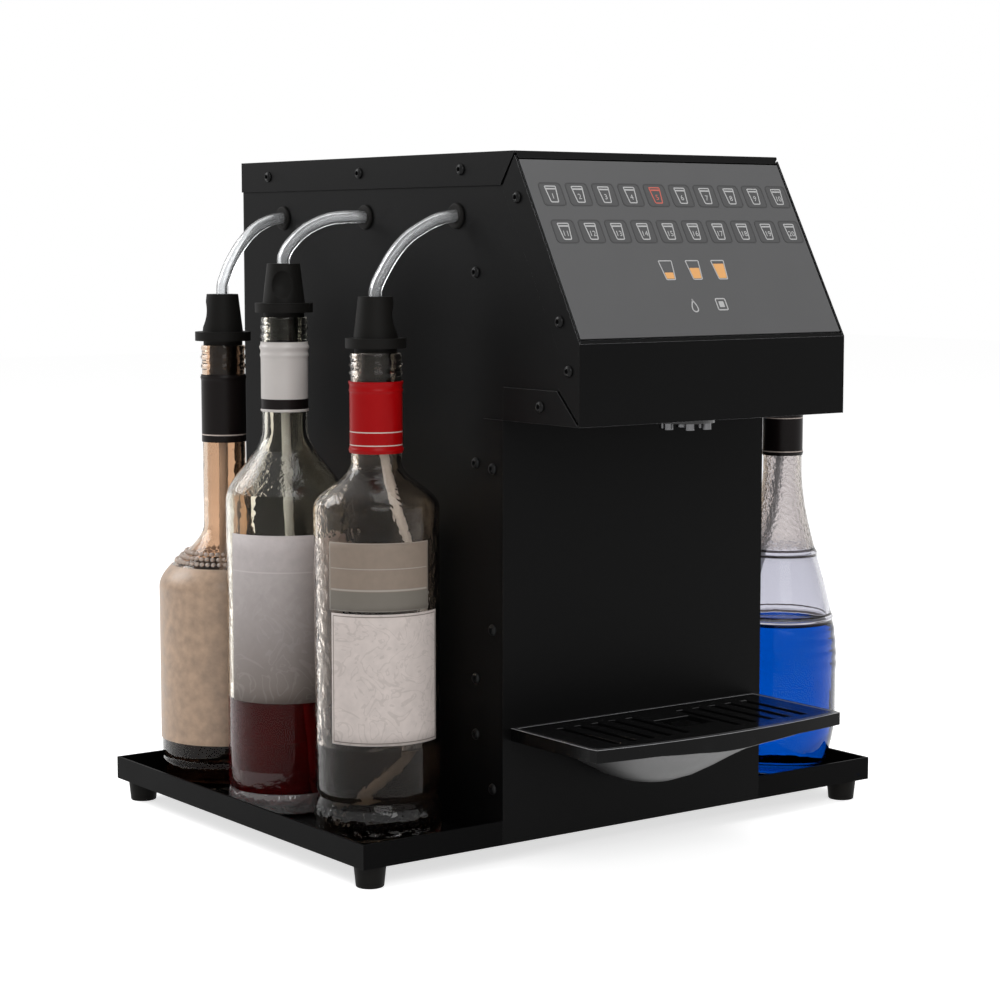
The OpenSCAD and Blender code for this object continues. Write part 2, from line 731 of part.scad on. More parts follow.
module nozzle_manifold() {
  color([0.75, 0.77, 0.8]) difference() {
    union() {
      mid_box(manifold_w, y_nozzle - manifold_d / 2, y_nozzle + manifold_d / 2, z_head + sheet, z_manifold);
      translate([0, y_nozzle, z_head - nozzle_drop])
        cylinder(d = nozzle_d, h = nozzle_drop + sheet + manifold_h / 2);
    }
    for_tips() cylinder(d = tip_d + 2 * hole_gap, h = tip_set);
    for (s = [-1, 1], i = [0 : 2])
      translate([s * lane_x(i), y_nozzle, z_manifold - socket_set])
        cylinder(r = socket_r, h = socket_set + past);
  }
}

// The pouring tips' seats in the underside of the nozzle
module for_tips() {
  for (k = [0 : 5])
    translate([0, y_nozzle, z_head - nozzle_drop]) rotate([0, 0, 60 * k])
      translate([tip_ring_d / 2, 0, 0]) children();
}

module nozzle_tips() {
  color(STEEL) for_tips() translate([0, 0, -tip_drop]) difference() {
    cylinder(d = tip_d, h = tip_drop + tip_set);
    translate([0, 0, -past]) cylinder(d = tip_bore, h = tip_drop + tip_set + 2 * past);
  }
}

module pump_bracket() {
  tab_w = 12;
  shaft_room = 2;
  color(STEEL) difference() {
    union() {
      both_sides() {
        translate([bracket_half, y_front + sheet, bracket_base])
          cube([sheet, column_d - 2 * sheet, bracket_h]);
        for (y = [y_front + sheet, y_back - 2 * sheet])
          translate([bracket_half, y, bracket_base]) cube([sheet + tab_w, sheet, z_head - bracket_base]);
      }
      mid_box(2 * bracket_out, y_front + sheet, y_back - sheet, bracket_base, bracket_base + sheet);
    }
    cross_holes([for (i = [3 : 5]) [pump_y(i), z_pump]], shaft_r + shaft_room);
  }
}

// Pumps of the right side and, mirrored, of the left, with the shaft along x from the bracket's outer face
module for_pumps() {
  both_sides() for (i = [3 : 5]) translate([bracket_out, pump_y(i), z_pump]) children();
}

module x_rod(r, x0, x1) {
  translate([x0, 0, 0]) rotate([0, 90, 0]) cylinder(r = r, h = x1 - x0);
}

motor_bore_l = 12;
module pump_motors() {
  color(STEEL) for_pumps() difference() {
    x_rod(motor_d / 2, -sheet - motor_l, -sheet);
    x_rod(shaft_r + running_gap, -sheet - motor_bore_l, 0);
  }
}

module pump_heads() {
  w = pump_head_w;
  color([0.2, 0.2, 0.22]) for_pumps() difference() {
    translate([0, -w / 2, -w / 2]) cube([pump_head_t, w, w]);
    x_rod(race_r, pump_back_t, pump_head_t + past);
    translate([pump_back_t, -race_r, 0]) cube([pump_head_t, 2 * race_r, w]);
    x_rod(shaft_r + running_gap, -past, pump_back_t + past);
  }
}

module pump_covers() {
  w = pump_head_w;
  color(CLEAR) for_pumps() translate([pump_head_t, -w / 2, -w / 2]) cube([pump_cover_t, w, w]);
}

// Rotor with its shaft: a hub with three lobes that squeeze the hose
module pump_rotor(i) {
  lobe_at = rotor_r - lobe_r;
  end_gap = 1;
  x0 = pump_back_t + end_gap;
  x1 = pump_head_t - end_gap;
  color([0.8, 0.8, 0.78]) mirror([i < 3 ? 1 : 0, 0, 0])
    translate([bracket_out, pump_y(i), z_pump]) {
      x_rod(shaft_r, -sheet - motor_bore_l + end_gap, (x0 + x1) / 2);
      translate([x0, 0, 0]) rotate([0, 90, 0]) linear_extrude(x1 - x0) {
        circle(lobe_at);
        for (k = [0 : 2]) rotate(120 * k) translate([-lobe_at, 0]) circle(lobe_r);
      }
    }
}

loop_steps = 8;
pump_hose_sides = 8;
// From the grommet down round the rotor, up again and forward to the manifold, on the right side
function pump_hose_path(i) =
  let (g = grommet_at(i), y_out = g[1] + 2 * loop_r, z_lane = z_base + lane_h, x = lane_x(i))
  let (start = [panel_in - grommet_t, g[1], g[2]], drop = [hose_x, g[1], g[2]])
  let (rise = [hose_x, y_out, z_lane], turn = [x, y_out, z_lane], over = [x, y_nozzle, z_lane])
  let (finish = [x, y_nozzle, z_manifold - socket_set])
  concat([start], bend(start, drop, [hose_x, g[1], z_pump]),
    [for (k = [0 : loop_steps]) let (q = 180 + 180 * k / loop_steps)
      [hose_x, pump_y(i) + loop_r * cos(q), z_pump + loop_r * sin(q)]],
    bend([hose_x, y_out, z_pump], rise, turn), bend(rise, turn, over), bend(turn, over, finish), [finish]);

module pump_hoses() {
  color(CLEAR) both_sides() for (i = [3 : 5]) tube(pump_hose_path(i), pump_hose_d / 2, pump_hose_sides);
}

// Electrics stand on the tray's floor, in the column
control_gap = 36;
y_control = y_front + control_gap;
supply_gap = 12;
y_supply = y_back - sheet - supply_gap - supply_l;
z_control = z_floor + standoff_h;

// A relay for each pump stands behind a row of connectors
relay = [0.11 * control_w, 0.21 * control_l, 16];
connector = [0.2 * control_w, 0.12 * control_l, 10];
module control_board() {
  color(GREEN) translate([-control_w / 2, y_control, z_control]) {
    cube([control_w, control_l, board_t]);
    translate([0, control_l * 0.6, board_t / 2]) spread(6, relay);
    translate([0, control_l * 0.2, board_t / 2]) spread(3, connector);
  }
}

// A row of n equal blocks, spread evenly over the board's width
module spread(n, size) {
  for (k = [0 : n - 1]) translate([control_w * (k + 0.5) / n - size[0] / 2, 0, 0]) cube(size);
}

module board_standoffs() {
  color(STEEL) for (sx = [-1, 1], y = [y_control + standoff_inset, y_control + control_l - standoff_inset])
    translate([sx * (control_w / 2 - standoff_inset), y, z_floor]) cylinder(d = standoff_d, h = standoff_h);
}

module power_supply() {
  strip_l = 14;
  strip_wall = 2;
  color(STEEL) difference() {
    mid_box(supply_w, y_supply, y_supply + supply_l, z_floor, z_floor + supply_h);
    mid_box(supply_w - 2 * strip_wall, y_supply - past, y_supply + strip_l,
            z_floor + supply_h / 2, z_floor + supply_h + past);
  }
}

// Frame on the rear panel's outside at height h: x across, y out, z up
module on_rear(h) {
  translate([inlet_x, y_back, z_base + h]) children();
}

// Box of outline (width, height) that runs from depth y0 outwards in to the panel
module rear_box(outline, gap, depth, y0 = 0) {
  w = outline[0] + 2 * gap;
  h = outline[1] + 2 * gap;
  translate([-w / 2, -y0 - depth, -h / 2]) cube([w, depth, h]);
}

// Standard three-pin inlet: flange, body, socket and pins
inlet_flange = [31, 24];
inlet_body = [27, 20];
inlet_socket = [24, 16.4];
inlet_depth = 18;
rear_flange_t = 2.5;
pin_size = [2, 4];
pin_l = 14;
pin_places = [[-7, -2], [7, -2], [0, 2]];
module power_inlet() {
  back_t = 2;
  socket_depth = inlet_depth - back_t;
  color(RUBBER) on_rear(inlet_h) {
    difference() {
      union() {
        rear_box(inlet_flange, 0, rear_flange_t, -rear_flange_t);
        rear_box(inlet_body, 0, inlet_depth);
      }
      rear_box(inlet_socket, 0, socket_depth + rear_flange_t + past, -rear_flange_t - past);
    }
    for (p = pin_places)
      translate([p[0] - pin_size[0] / 2, -inlet_depth, p[1] - pin_size[1] / 2])
        cube([pin_size[0], back_t + pin_l, pin_size[1]]);
  }
}

// Rocker switch: a drum with a hollowed face turns on pins in its frame, and rests with one end pressed
switch_flange = [22, 30];
switch_body = [18, 26];
switch_depth = 16;
rocker_r = 10;
rocker_w = 10;
rocker_face = -0.5;
rocker_pin_r = 1.5;
rocker_pin_l = 2;
rocker_tilt = 10;
module switch_frame() {
  color(RUBBER) on_rear(switch_h) difference() {
    union() {
      rear_box(switch_flange, 0, rear_flange_t, -rear_flange_t);
      rear_box(switch_body, 0, switch_depth);
    }
    x_rod(rocker_r + slide_gap, -rocker_w / 2 - slide_gap, rocker_w / 2 + slide_gap);
    x_rod(rocker_pin_r + running_gap, -rocker_w / 2 - rocker_pin_l, rocker_w / 2 + rocker_pin_l);
  }
}

module switch_rocker() {
  reach = 2 * rocker_r;
  ends = rocker_face + reach * tan(rocker_tilt);
  face = [[-reach, -reach], [ends, -reach], [rocker_face, 0], [ends, reach], [-reach, reach]];
  pin_end = rocker_w / 2 + rocker_pin_l - slide_gap;
  color([0.6, 0.05, 0.05]) on_rear(switch_h) {
    rotate([rocker_tilt, 0, 0]) intersection() {
      x_rod(rocker_r, -rocker_w / 2, rocker_w / 2);
      yz_plate(face, -rocker_w, rocker_w);
    }
    x_rod(rocker_pin_r, -pin_end, pin_end);
  }
}

// Drip tray: plan, tongues, basin
z_drip = z_base + drip_top_h;
z_drip_low = z_drip - drip_rim_h;
drip_back = y_front - slide_gap;
bow_half = drip_w / 2 - drip_corner / 2;
bow_r = (bow_half * bow_half + drip_bow * drip_bow) / (2 * drip_bow);
z_tongue = z_drip_low + (drip_rim_h - tongue_t) / 2;

// Plan of the drip tray, with its edge moved in
module drip_plan(in = 0) {
  w = drip_w / 2 - in;
  front = y_front - drip_reach + in;
  back = drip_back - in;
  cut = front + drip_bow + drip_corner;
  nose = drip_corner / 2;
  intersection() {
    polygon([[-w, back], [-w, cut], [-w + nose, front], [w - nose, front], [w, cut], [w, back]]);
    translate([0, y_front - drip_reach + bow_r]) circle(r = bow_r - in, $fn = 128);
  }
}

module drip_layer(in, z0, z1) {
  translate([0, 0, z0]) linear_extrude(z1 - z0) drip_plan(in);
}

// Turned basin whose curve swings from its flat bottom up into the rim, raised by a wall's thickness
basin_steps = 7;
module basin(wall) {
  low = z_drip_low + wall - basin_depth;
  curve = [for (k = [0 : basin_steps]) let (f = k / basin_steps)
    [basin_flat_r + (basin_r - basin_flat_r) * f, low + basin_depth * (1 - cos(180 * f)) / 2]];
  translate([0, y_front - basin_reach, 0]) rotate_extrude($fn = 128)
    polygon(concat([[0, low]], curve, [[basin_r, z_drip + past], [0, z_drip + past]]));
}

module for_tongues() {
  for (sx = [-1, 1]) translate([sx * tongue_x, y_front, z_tongue]) children();
}

// Tongue outline grown by a gap, from y0 behind the panel's face on
module tongue_box(gap, l, y0 = 0) {
  translate([-tongue_w / 2 - gap, y0, -gap]) cube([tongue_w + 2 * gap, l, tongue_t + 2 * gap]);
}

// The plan moved in, flat to a wall's thickness above the rim's underside and rounded below
module drip_shape(in, wall) {
  intersection() {
    drip_layer(in, z_drip_low - basin_depth - past, z_drip);
    union() {
      basin(wall);
      mid_box(2 * drip_w, y_front - 2 * drip_reach, y_front, z_drip_low + wall, z_drip + past);
    }
  }
}

module drip_tray() {
  color(BLACK) {
    difference() {
      drip_shape(0, 0);
      drip_layer(drip_rim_w, z_drip - grille_t, z_drip + past);
      drip_shape(drip_rim_w + drip_ledge, drip_wall);
    }
    for_tongues() tongue_box(0, tongue_l + slide_gap + drip_wall, -slide_gap - drip_wall);
  }
}

module drip_grille() {
  y_mid = (drip_back + y_front - drip_reach) / 2;
  low = z_drip - grille_t - past;
  color(BLACK) difference() {
    drip_layer(drip_rim_w + slide_gap, z_drip - grille_t, z_drip);
    for (sx = [-1, 1], k = [0 : slot_count - 1])
      translate([sx * (slot_first + k * slot_pitch) - slot_w / 2, y_mid - slot_l / 2, low])
        cube([slot_w, slot_l, grille_t + 2 * past]);
    mid_box(drain_w, y_mid - drain_d / 2, y_mid + drain_d / 2, low, z_drip + past);
  }
}

// Block behind the front panel with a pocket for each tongue
module drip_socket() {
  w = 2 * tongue_x + tongue_w + 2 * (slide_gap + socket_wall);
  color(STEEL) difference() {
    mid_box(w, y_front + sheet, y_front + sheet + tongue_l + socket_wall,
            z_tongue - slide_gap - socket_wall, z_tongue + tongue_t + slide_gap + socket_wall);
    for_tongues() tongue_box(slide_gap, tongue_l + past);
  }
}

// Outer radius of a bottle at height z
function bottle_r(s, z) =
  z < s[2] ? s[1] + (s[0] - s[1]) * sin(90 * z / s[2])
  : z < s[3] ? s[0]
  : z < s[3] + s[4] ? s[5] + (s[0] - s[5]) * (1 + cos(180 * (z - s[3]) / s[4])) / 2
  : s[5];
foot_steps = 6;
shoulder_steps = 10;
function bottle_heights(s) = concat(
  [for (k = [0 : foot_steps]) s[2] * k / foot_steps],
  [for (k = [0 : shoulder_steps]) s[3] + s[4] * k / shoulder_steps], [s[6]]);

module bottle(i) {
  s = shapes[i];
  outer = [for (z = bottle_heights(s)) [bottle_r(s, z), z]];
  inner = [for (p = outer) if (p[1] > bottle_floor) [max(mouth_d / 2, p[0] - glass_wall), p[1]]];
  floor_r = bottle_r(s, bottle_floor) - glass_wall;
  profile = concat([[0, 0]], outer, [for (k = [len(inner) - 1 : -1 : 0]) inner[k]],
                   [[floor_r, bottle_floor], [0, bottle_floor]]);
  color(CLEAR) translate(bottle_at(i)) rotate_extrude() polygon(profile);
}

// Stopper from the mouth of its bottle up, with the hose's seat and the dip tube's bore
module stopper(i) {
  dip_bore = dip_r + hole_gap;
  hose_seat = hose_r + hole_gap;
  z_flange = collar_h + stopper_flange_t;
  step = stopper_h - hose_set;
  thumb_mid = (grip_low_d + grip_top_d) / 4;
  color(RUBBER) translate(bottle_at(i) + [0, 0, shapes[i][6]]) rotate([0, 0, thumb_angles[i]])
    difference() {
      rotate_extrude() polygon([
        [dip_bore, -plug_l], [mouth_d / 2 - hole_gap, -plug_l], [mouth_d / 2 - hole_gap, 0],
        [collar_d / 2, 0], [collar_d / 2, collar_h], [stopper_flange_d / 2, collar_h],
        [stopper_flange_d / 2, z_flange], [grip_low_d / 2, z_flange], [grip_top_d / 2, stopper_h],
        [hose_seat, stopper_h], [hose_seat, step], [dip_bore, step]]);
      translate([thumb_mid + thumb_r - thumb_depth, 0, z_flange + grip_h / 2]) sphere(r = thumb_r);
    }
}

dip_sides = 8;
module dip_tube(i) {
  s = shapes[i];
  top = s[6] + stopper_h - hose_set;
  low = bottle_floor + dip_gap;
  run = [for (p = dip_runs[i])
    let (z = low + p[1] * (s[3] - low)) [p[0] * (bottle_r(s, z) - glass_wall - dip_r), 0, z]];
  color(CLEAR) translate(bottle_at(i)) rotate([0, 0, dip_angles[i]])
    tube(concat([[0, 0, top], [0, 0, s[6] - plug_l]], run), dip_r, dip_sides);
}

hose_sides = 10;
// Points of a hose from inside its grommet to its seat in the stopper
function hose_points(i) =
  let (g = grommet_at(i), mouth = g + [side(i) * grommet_t, 0, 0], top = stopper_top(i), run = top - mouth)
  concat(
    [g - side(i) * [sheet + grommet_t, 0, 0], mouth],
    [for (p = hose_paths[i]) mouth + [side(i) * p[0], run[1] * p[0] / abs(run[0]), -p[1]]],
    [top + [0, 0, hose_straight], top, top - [0, 0, hose_set]]);

module hose(i) {
  color(CLEAR) tube(hose_points(i), hose_r, hose_sides, hose_bore / 2);
}

base_tray();
rubber_feet();
left_side_panel();
right_side_panel();
top_cover();
rear_panel();
front_panel();
head_cover();
head_floor();
touch_panel();
touch_board();
hose_grommets();
casing_screws();
nozzle_manifold();
nozzle_tips();
pump_bracket();
pump_motors();
pump_heads();
pump_covers();
pump_hoses();
control_board();
board_standoffs();
power_supply();
power_inlet();
switch_frame();
switch_rocker();
drip_socket();
drip_tray();
drip_grille();
for (i = [0 : 5]) {
  pump_rotor(i);
  bottle(i);
  stopper(i);
  dip_tube(i);
  hose(i);
}
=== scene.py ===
# %% [markdown]
# # Dressing a counter-top cocktail machine
# The machine is a black sheet-metal column with a sloping touch panel. Bottles stand in a tray on
# both sides of it, a clear hose runs from each stopper into the column, and a nozzle pours into a
# glass on the drip tray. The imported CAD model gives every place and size. This lesson adds what the
# eye needs: rounded edges, glass, drink, labels, printed keys, and finishes made of shader nodes.
# Lengths in the lists below are millimetres, because makers think in them, and MM turns them into
# Blender's metres.

# %% Load the frame
import json
import math

import bmesh
import bpy
from mathutils import Matrix, Vector


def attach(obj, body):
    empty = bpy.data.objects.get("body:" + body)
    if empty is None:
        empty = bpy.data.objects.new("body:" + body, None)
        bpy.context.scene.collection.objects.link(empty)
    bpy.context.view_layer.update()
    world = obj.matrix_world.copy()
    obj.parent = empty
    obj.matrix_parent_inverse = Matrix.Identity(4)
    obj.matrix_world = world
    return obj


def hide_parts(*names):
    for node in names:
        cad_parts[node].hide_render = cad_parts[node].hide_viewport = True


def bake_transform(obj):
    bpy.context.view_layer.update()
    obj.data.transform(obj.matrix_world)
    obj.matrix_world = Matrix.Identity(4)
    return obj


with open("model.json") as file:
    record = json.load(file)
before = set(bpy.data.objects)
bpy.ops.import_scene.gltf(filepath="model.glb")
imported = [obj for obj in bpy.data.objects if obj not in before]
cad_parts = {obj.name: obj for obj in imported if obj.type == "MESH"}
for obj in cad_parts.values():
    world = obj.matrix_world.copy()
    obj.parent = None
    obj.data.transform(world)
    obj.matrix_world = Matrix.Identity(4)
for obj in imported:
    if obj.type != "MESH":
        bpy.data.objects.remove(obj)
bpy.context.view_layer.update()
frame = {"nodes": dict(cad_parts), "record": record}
nodes = frame["nodes"]
scene = bpy.context.scene
MM = 0.001

# %% [markdown]
# ## The camera
# The photograph is taken from the left of the machine's front, a little below its top, with a long
# lens. The place and the lens were solved from the straight edges of the casing. A long lens keeps
# the uprights nearly parallel, so nothing is shifted.

# %% Camera
def put(name, data):
    """A new object in the scene."""
    thing = bpy.data.objects.new(name, data)
    scene.collection.objects.link(thing)
    return thing


camera_data = bpy.data.cameras.new("studio_camera")
camera_data.lens = 87.77
camera_data.sensor_width = 36.0
camera = put("studio_camera", camera_data)
camera.location = (-0.9713, -1.2806, 0.3823)
camera.rotation_euler = (math.radians(83.88), 0.0, math.radians(-36.4))
scene.camera = camera
print("camera at", tuple(camera.location), "lens", camera_data.lens)

# %% [markdown]
# ## Finishes
# Every finish is a Principled shader fed by noise in Object coordinates, which are metres here, so
# a scale of 900 gives specks of about a millimetre. One helper builds the common case: colour that
# drifts a little, roughness that drifts with it, and a fine grain for the bump. What is the same all
# over is set straight on the shader's sockets, because an exported model keeps only that.

# %% Helper for finishes
CLOUD_DETAIL, GRAIN_DETAIL = 4.0, 2.0


def set_sockets(node, **values):
    """Sets inputs of a node by name, with _ for a space."""
    for socket, value in values.items():
        node.inputs[socket.replace("_", " ")].default_value = value
    return node


def add_node(tree, kind, **values):
    """A new shader node with some of its inputs set."""
    return set_sockets(tree.nodes.new(f"ShaderNode{kind}"), **values)


def finish(name, colour, roughness, grain=900.0, depth=0.05, drift=0.12, blotch=35.0, relief=0.2,
           gloss=0.5, **sockets):
    """A procedural finish: drifting colour and roughness, and a fine grain."""
    material = bpy.data.materials.new(name)
    material.use_nodes = True
    tree = material.node_tree
    link = tree.links.new
    shader = set_sockets(tree.nodes["Principled BSDF"], Specular_IOR_Level=gloss, **sockets)
    place = add_node(tree, "TexCoord").outputs["Object"]
    cloud = add_node(tree, "TexNoise", Scale=blotch, Detail=CLOUD_DETAIL)
    link(place, cloud.inputs["Vector"])
    tint = add_node(tree, "Mix")
    tint.data_type = "RGBA"
    dark, light = 1 - drift, 1 + drift
    set_sockets(tint, A=(*[c * dark for c in colour], 1), B=(*[min(1, c * light) for c in colour], 1))
    link(cloud.outputs["Fac"], tint.inputs["Factor"])
    link(tint.outputs["Result"], shader.inputs["Base Color"])
    rough = add_node(tree, "MapRange", To_Min=roughness * dark, To_Max=min(1, roughness * light))
    link(cloud.outputs["Fac"], rough.inputs["Value"])
    link(rough.outputs["Result"], shader.inputs["Roughness"])
    if depth:
        speck = add_node(tree, "TexNoise", Scale=grain, Detail=GRAIN_DETAIL)
        link(place, speck.inputs["Vector"])
        bump = add_node(tree, "Bump", Strength=depth, Distance=relief * MM)
        link(speck.outputs["Fac"], bump.inputs["Height"])
        link(bump.outputs["Normal"], shader.inputs["Normal"])
    return material


def grey(value):
    """A neutral colour, a touch cool."""
    return (value, value, value * 1.03)

# %% Finishes of metal, mouldings, rubber and silicone
powder_coat = finish("satin_powder_coat", grey(0.0023), 0.42, grain=1400, depth=0.12, gloss=0.057)
# A lighter grey for the rounded strips of the casing's edges: a painted highlight.
painted_edge_highlight = finish("rubbed_edge_coat", grey(0.03), 0.3, grain=1400, gloss=0.6)
# Light grey for the rounded strips of the head cover's folds: a painted highlight.
painted_fold_highlight = finish("worn_fold_coat", grey(0.3), 0.3, grain=1400, gloss=0.6)
tray_coat = finish("satin_tray_coat", grey(0.0026), 0.45, grain=1400, depth=0.12, gloss=0.03)
tray_floor = finish("worn_tray_floor", grey(0.0028), 0.2, depth=0.06, gloss=0.12)
# Mid grey, lighter than the panel's black acrylic: partly its own colour, partly painted reflection.
touch_film_painted_reflection = finish("touch_panel_film", grey(0.06), 0.34, grain=2500, depth=0.02, drift=0.05)
moulded_rubber = finish("moulded_rubber", (0.0062, 0.0058, 0.0052), 0.55, grain=1800, depth=0.25,
                        gloss=0.08)
gloss_black = finish("gloss_black_moulding", grey(0.0025), 0.16, grain=500, depth=0.03, gloss=0.08)
grille_black = finish("polished_grille_moulding", grey(0.004), 0.12, grain=500, depth=0.02)
# A lighter, glossier copy of the drip tray's black moulding for its underside: painted reflection.
belly_painted_reflection = finish("satin_belly_moulding", grey(0.012), 0.4, grain=300, depth=0.02, gloss=0.85,
                     IOR=1.6)
# A lighter grey for the level top of the drip tray's rim: painted sheen.
painted_rim_top_sheen = finish("polished_rim_moulding", grey(0.05), 0.2, grain=300, depth=0.02)
# Light grey for the rounded strips at the top of the drip tray's rim: a painted highlight.
painted_rim_highlight = finish("rubbed_rim_edge", grey(0.34), 0.2, grain=300, depth=0.02)
black_screw = finish("blackened_screw_steel", grey(0.005), 0.34, grain=1500, depth=0.08, gloss=0.12)
nozzle_black = finish("nozzle_moulding", grey(0.012), 0.26)
tip_steel = finish("dark_tip_steel", grey(0.14), 0.26, grain=1500, depth=0.1, Metallic=1.0)
sheet_steel = finish("bare_sheet_steel", grey(0.42), 0.38, grain=1200, depth=0.1, Metallic=1.0)
board_green = finish("solder_mask", (0.02, 0.12, 0.05), 0.3, grain=700, depth=0.15)
pump_grey = finish("pump_moulding", grey(0.06), 0.45, grain=1200, depth=0.15)
rotor_white = finish("rotor_moulding", (0.6, 0.6, 0.57), 0.4, grain=1000, depth=0.1)
turned_brass = finish("turned_brass", (0.55, 0.4, 0.14), 0.28, grain=1500, depth=0.1, Metallic=1.0)
pressed_aluminium = finish("pressed_aluminium", grey(0.5), 0.4, grain=1600, depth=0.12, Metallic=1.0)
socket_black = finish("socket_moulding", grey(0.01), 0.42, grain=1600, depth=0.2)
rocker_red = finish("rocker_moulding", (0.3, 0.012, 0.01), 0.22, grain=700, depth=0.04)
clear_cover = finish("clear_cover_moulding", (0.85, 0.88, 0.9), 0.08, grain=400, depth=0.02,
                     Transmission_Weight=0.9)
silicone = finish("clear_silicone", (0.9, 0.91, 0.92), 0.1, grain=260, drift=0.03,
                  Transmission_Weight=0.93, IOR=1.41)
milky_silicone = finish("milky_silicone", (0.86, 0.87, 0.88), 0.2, grain=260, drift=0.04,
                        Transmission_Weight=0.45, IOR=1.2)
print("finishes:", len(bpy.data.materials))

# %% [markdown]
# ## Hoses
# Six clear silicone hoses run from the grommets to the stoppers. They are soft, so each is a tube on
# a smooth curve through the route that the CAD model uses, with a bore so that both walls catch the
# light.

# %% Tubes on smooth routes
def smooth_route(points, steps=5):
    """A curve that passes through all points, with even steps between each two."""
    ends = [2 * points[0] - points[1], *points, 2 * points[-1] - points[-2]]
    route = []
    for a, b, c, d in zip(ends, ends[1:], ends[2:], ends[3:]):
        for k in range(steps):
            t = k / steps
            route.append(0.5 * (2 * b + (c - a) * t + (2 * a - 5 * b + 4 * c - d) * t * t
                                + (3 * b - a - 3 * c + d) * t ** 3))
    return [*route, points[-1]]


def made_mesh(work, name, smooth=True):
    """Turns a finished bmesh into mesh data."""
    made = bpy.data.meshes.new(name)
    work.to_mesh(made)
    work.free()
    if smooth:
        made.shade_smooth()
    return made


def tube_mesh(name, route, outer, inner, sides=24):
    """A tube with a bore along a route, its rings carried along without twist."""
    mesh = bmesh.new()
    normal = Vector((0, 0, 1)).cross(route[1] - route[0]).normalized()
    shells = {outer: [], inner: []}
    for i, p in enumerate(route):
        along = (route[min(i + 1, len(route) - 1)] - route[max(i - 1, 0)]).normalized()
        normal = (normal - normal.dot(along) * along).normalized()
        across = along.cross(normal)
        for radius, rings in shells.items():
            rings.append([mesh.verts.new(p + radius * (math.cos(a) * normal + math.sin(a) * across))
                          for a in (2 * math.pi * k / sides for k in range(sides))])
    for (radius, rings), turn in zip(shells.items(), (1, -1)):
        for low, high in zip(rings, rings[1:]):
            for k in range(sides):
                n = (k + 1) % sides
                mesh.faces.new([low[k], low[n], high[n], high[k]][::turn])
    for end, turn in ((0, -1), (-1, 1)):
        for k in range(sides):
            n = (k + 1) % sides
            a, b = shells[outer][end], shells[inner][end]
            mesh.faces.new([a[k], a[n], b[n], b[k]][::turn])
    return made_mesh(mesh, name)


def add_piece(name, mesh, material, slot, body=None, replaced=()):
    """Links a finished mesh as a piece with a finish, on a body if given; the slot is not used."""
    piece = put(name, mesh)
    mesh.materials.clear()
    mesh.materials.append(material)
    if body:
        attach(piece, body)
    if replaced:
        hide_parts(*replaced)
    return piece

# %% Hose routes
GROMMET_X, GROMMET_Z, GROMMET_LIP, PANEL_SHEET = 103.8, 396.0, 2.0, 1.2
TRAY_FLOOR_Z, STOPPER_H, HOSE_SET = 15.5, 34.0, 10.0
HOSE_D, HOSE_BORE, HOSE_STRAIGHT = 8.0, 5.0, 3.0
# place: side, grommet y, bottle axis, height of the bottle's mouth, hose (out, down) from the grommet
PLACES = {
    "left_front": (-1, -59.5, (-155, -46.5), 298,
        ((10, 2), (20, 7), (30, 14), (38.5, 24), (45, 35), (48, 41))),
    "left_middle": (-1, 41.5, (-155, 59.5), 317,
        ((11, 0), (22, 1.5), (33, 6.5), (40, 12), (46, 19), (48.5, 24))),
    "left_rear": (-1, 142.5, (-151, 144.5), 296,
        ((10, 2), (21, 8), (31, 18), (39, 30), (43, 39), (44.8, 44))),
    "right_front": (1, -59.5, (163, -65.5), 285, ((14, 2), (28, 7), (39, 16), (48, 30), (54, 46))),
    "right_middle": (1, 41.5, (155, 35), 298, ((10, 2), (20, 7), (29, 14), (37, 25), (45, 37))),
    "right_rear": (1, 142.5, (155, 136), 317, ((10, 0), (20, 1), (29, 4), (37, 10), (43, 18))),
}
for place, (side, grommet_y, (x, y), mouth_h, drops) in PLACES.items():
    mouth = Vector((side * (GROMMET_X + GROMMET_LIP), grommet_y, GROMMET_Z))
    top = Vector((x, y, TRAY_FLOOR_Z + mouth_h + STOPPER_H))
    run = top - mouth
    inner_end = mouth - Vector((side * (PANEL_SHEET + 2 * GROMMET_LIP), 0, 0))
    bends = [mouth + Vector((side * out, run.y * out / abs(run.x), -down)) for out, down in drops]
    seat = [top + Vector((0, 0, rise)) for rise in (HOSE_STRAIGHT, 0, -HOSE_SET)]
    route = smooth_route([p * MM for p in (inner_end, mouth, *bends, *seat)])
    length = sum((b - a).length for a, b in zip(route, route[1:]))
    mesh = tube_mesh(f"hose_{place}_tube", route, HOSE_D / 2 * MM, HOSE_BORE / 2 * MM)
    hose = add_piece(f"hose_{place}_tube", mesh, silicone, "clear_silicone", replaced=[f"hose_{place}"])
    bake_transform(hose)
    print(f"hose {place}: {length * 1000:.0f} mm")

# %% [markdown]
# ## Rounded sheet metal
# A folded sheet or a moulding has no knife edges: every edge is rounded by a fraction of a
# millimetre, and that thin strip catches the light and draws the shape of a black object. The CAD
# solids have sharp edges, so each visible one is copied, its triangles merged into flat faces, and a
# Bevel modifier rounds what is left. The copy stands for its node. Where a strip gets a lighter
# finish, that finish is a painted highlight.

# %% Rounded copies of the solids
SHARP, FOLD, FLAT = math.radians(32), math.radians(25), math.radians(0.5)
MERGE, BEVEL_STEPS = 0.002, 3
SLOTS = {part["node"]: part["material_slot"] for part in frame["record"]["subparts"]}


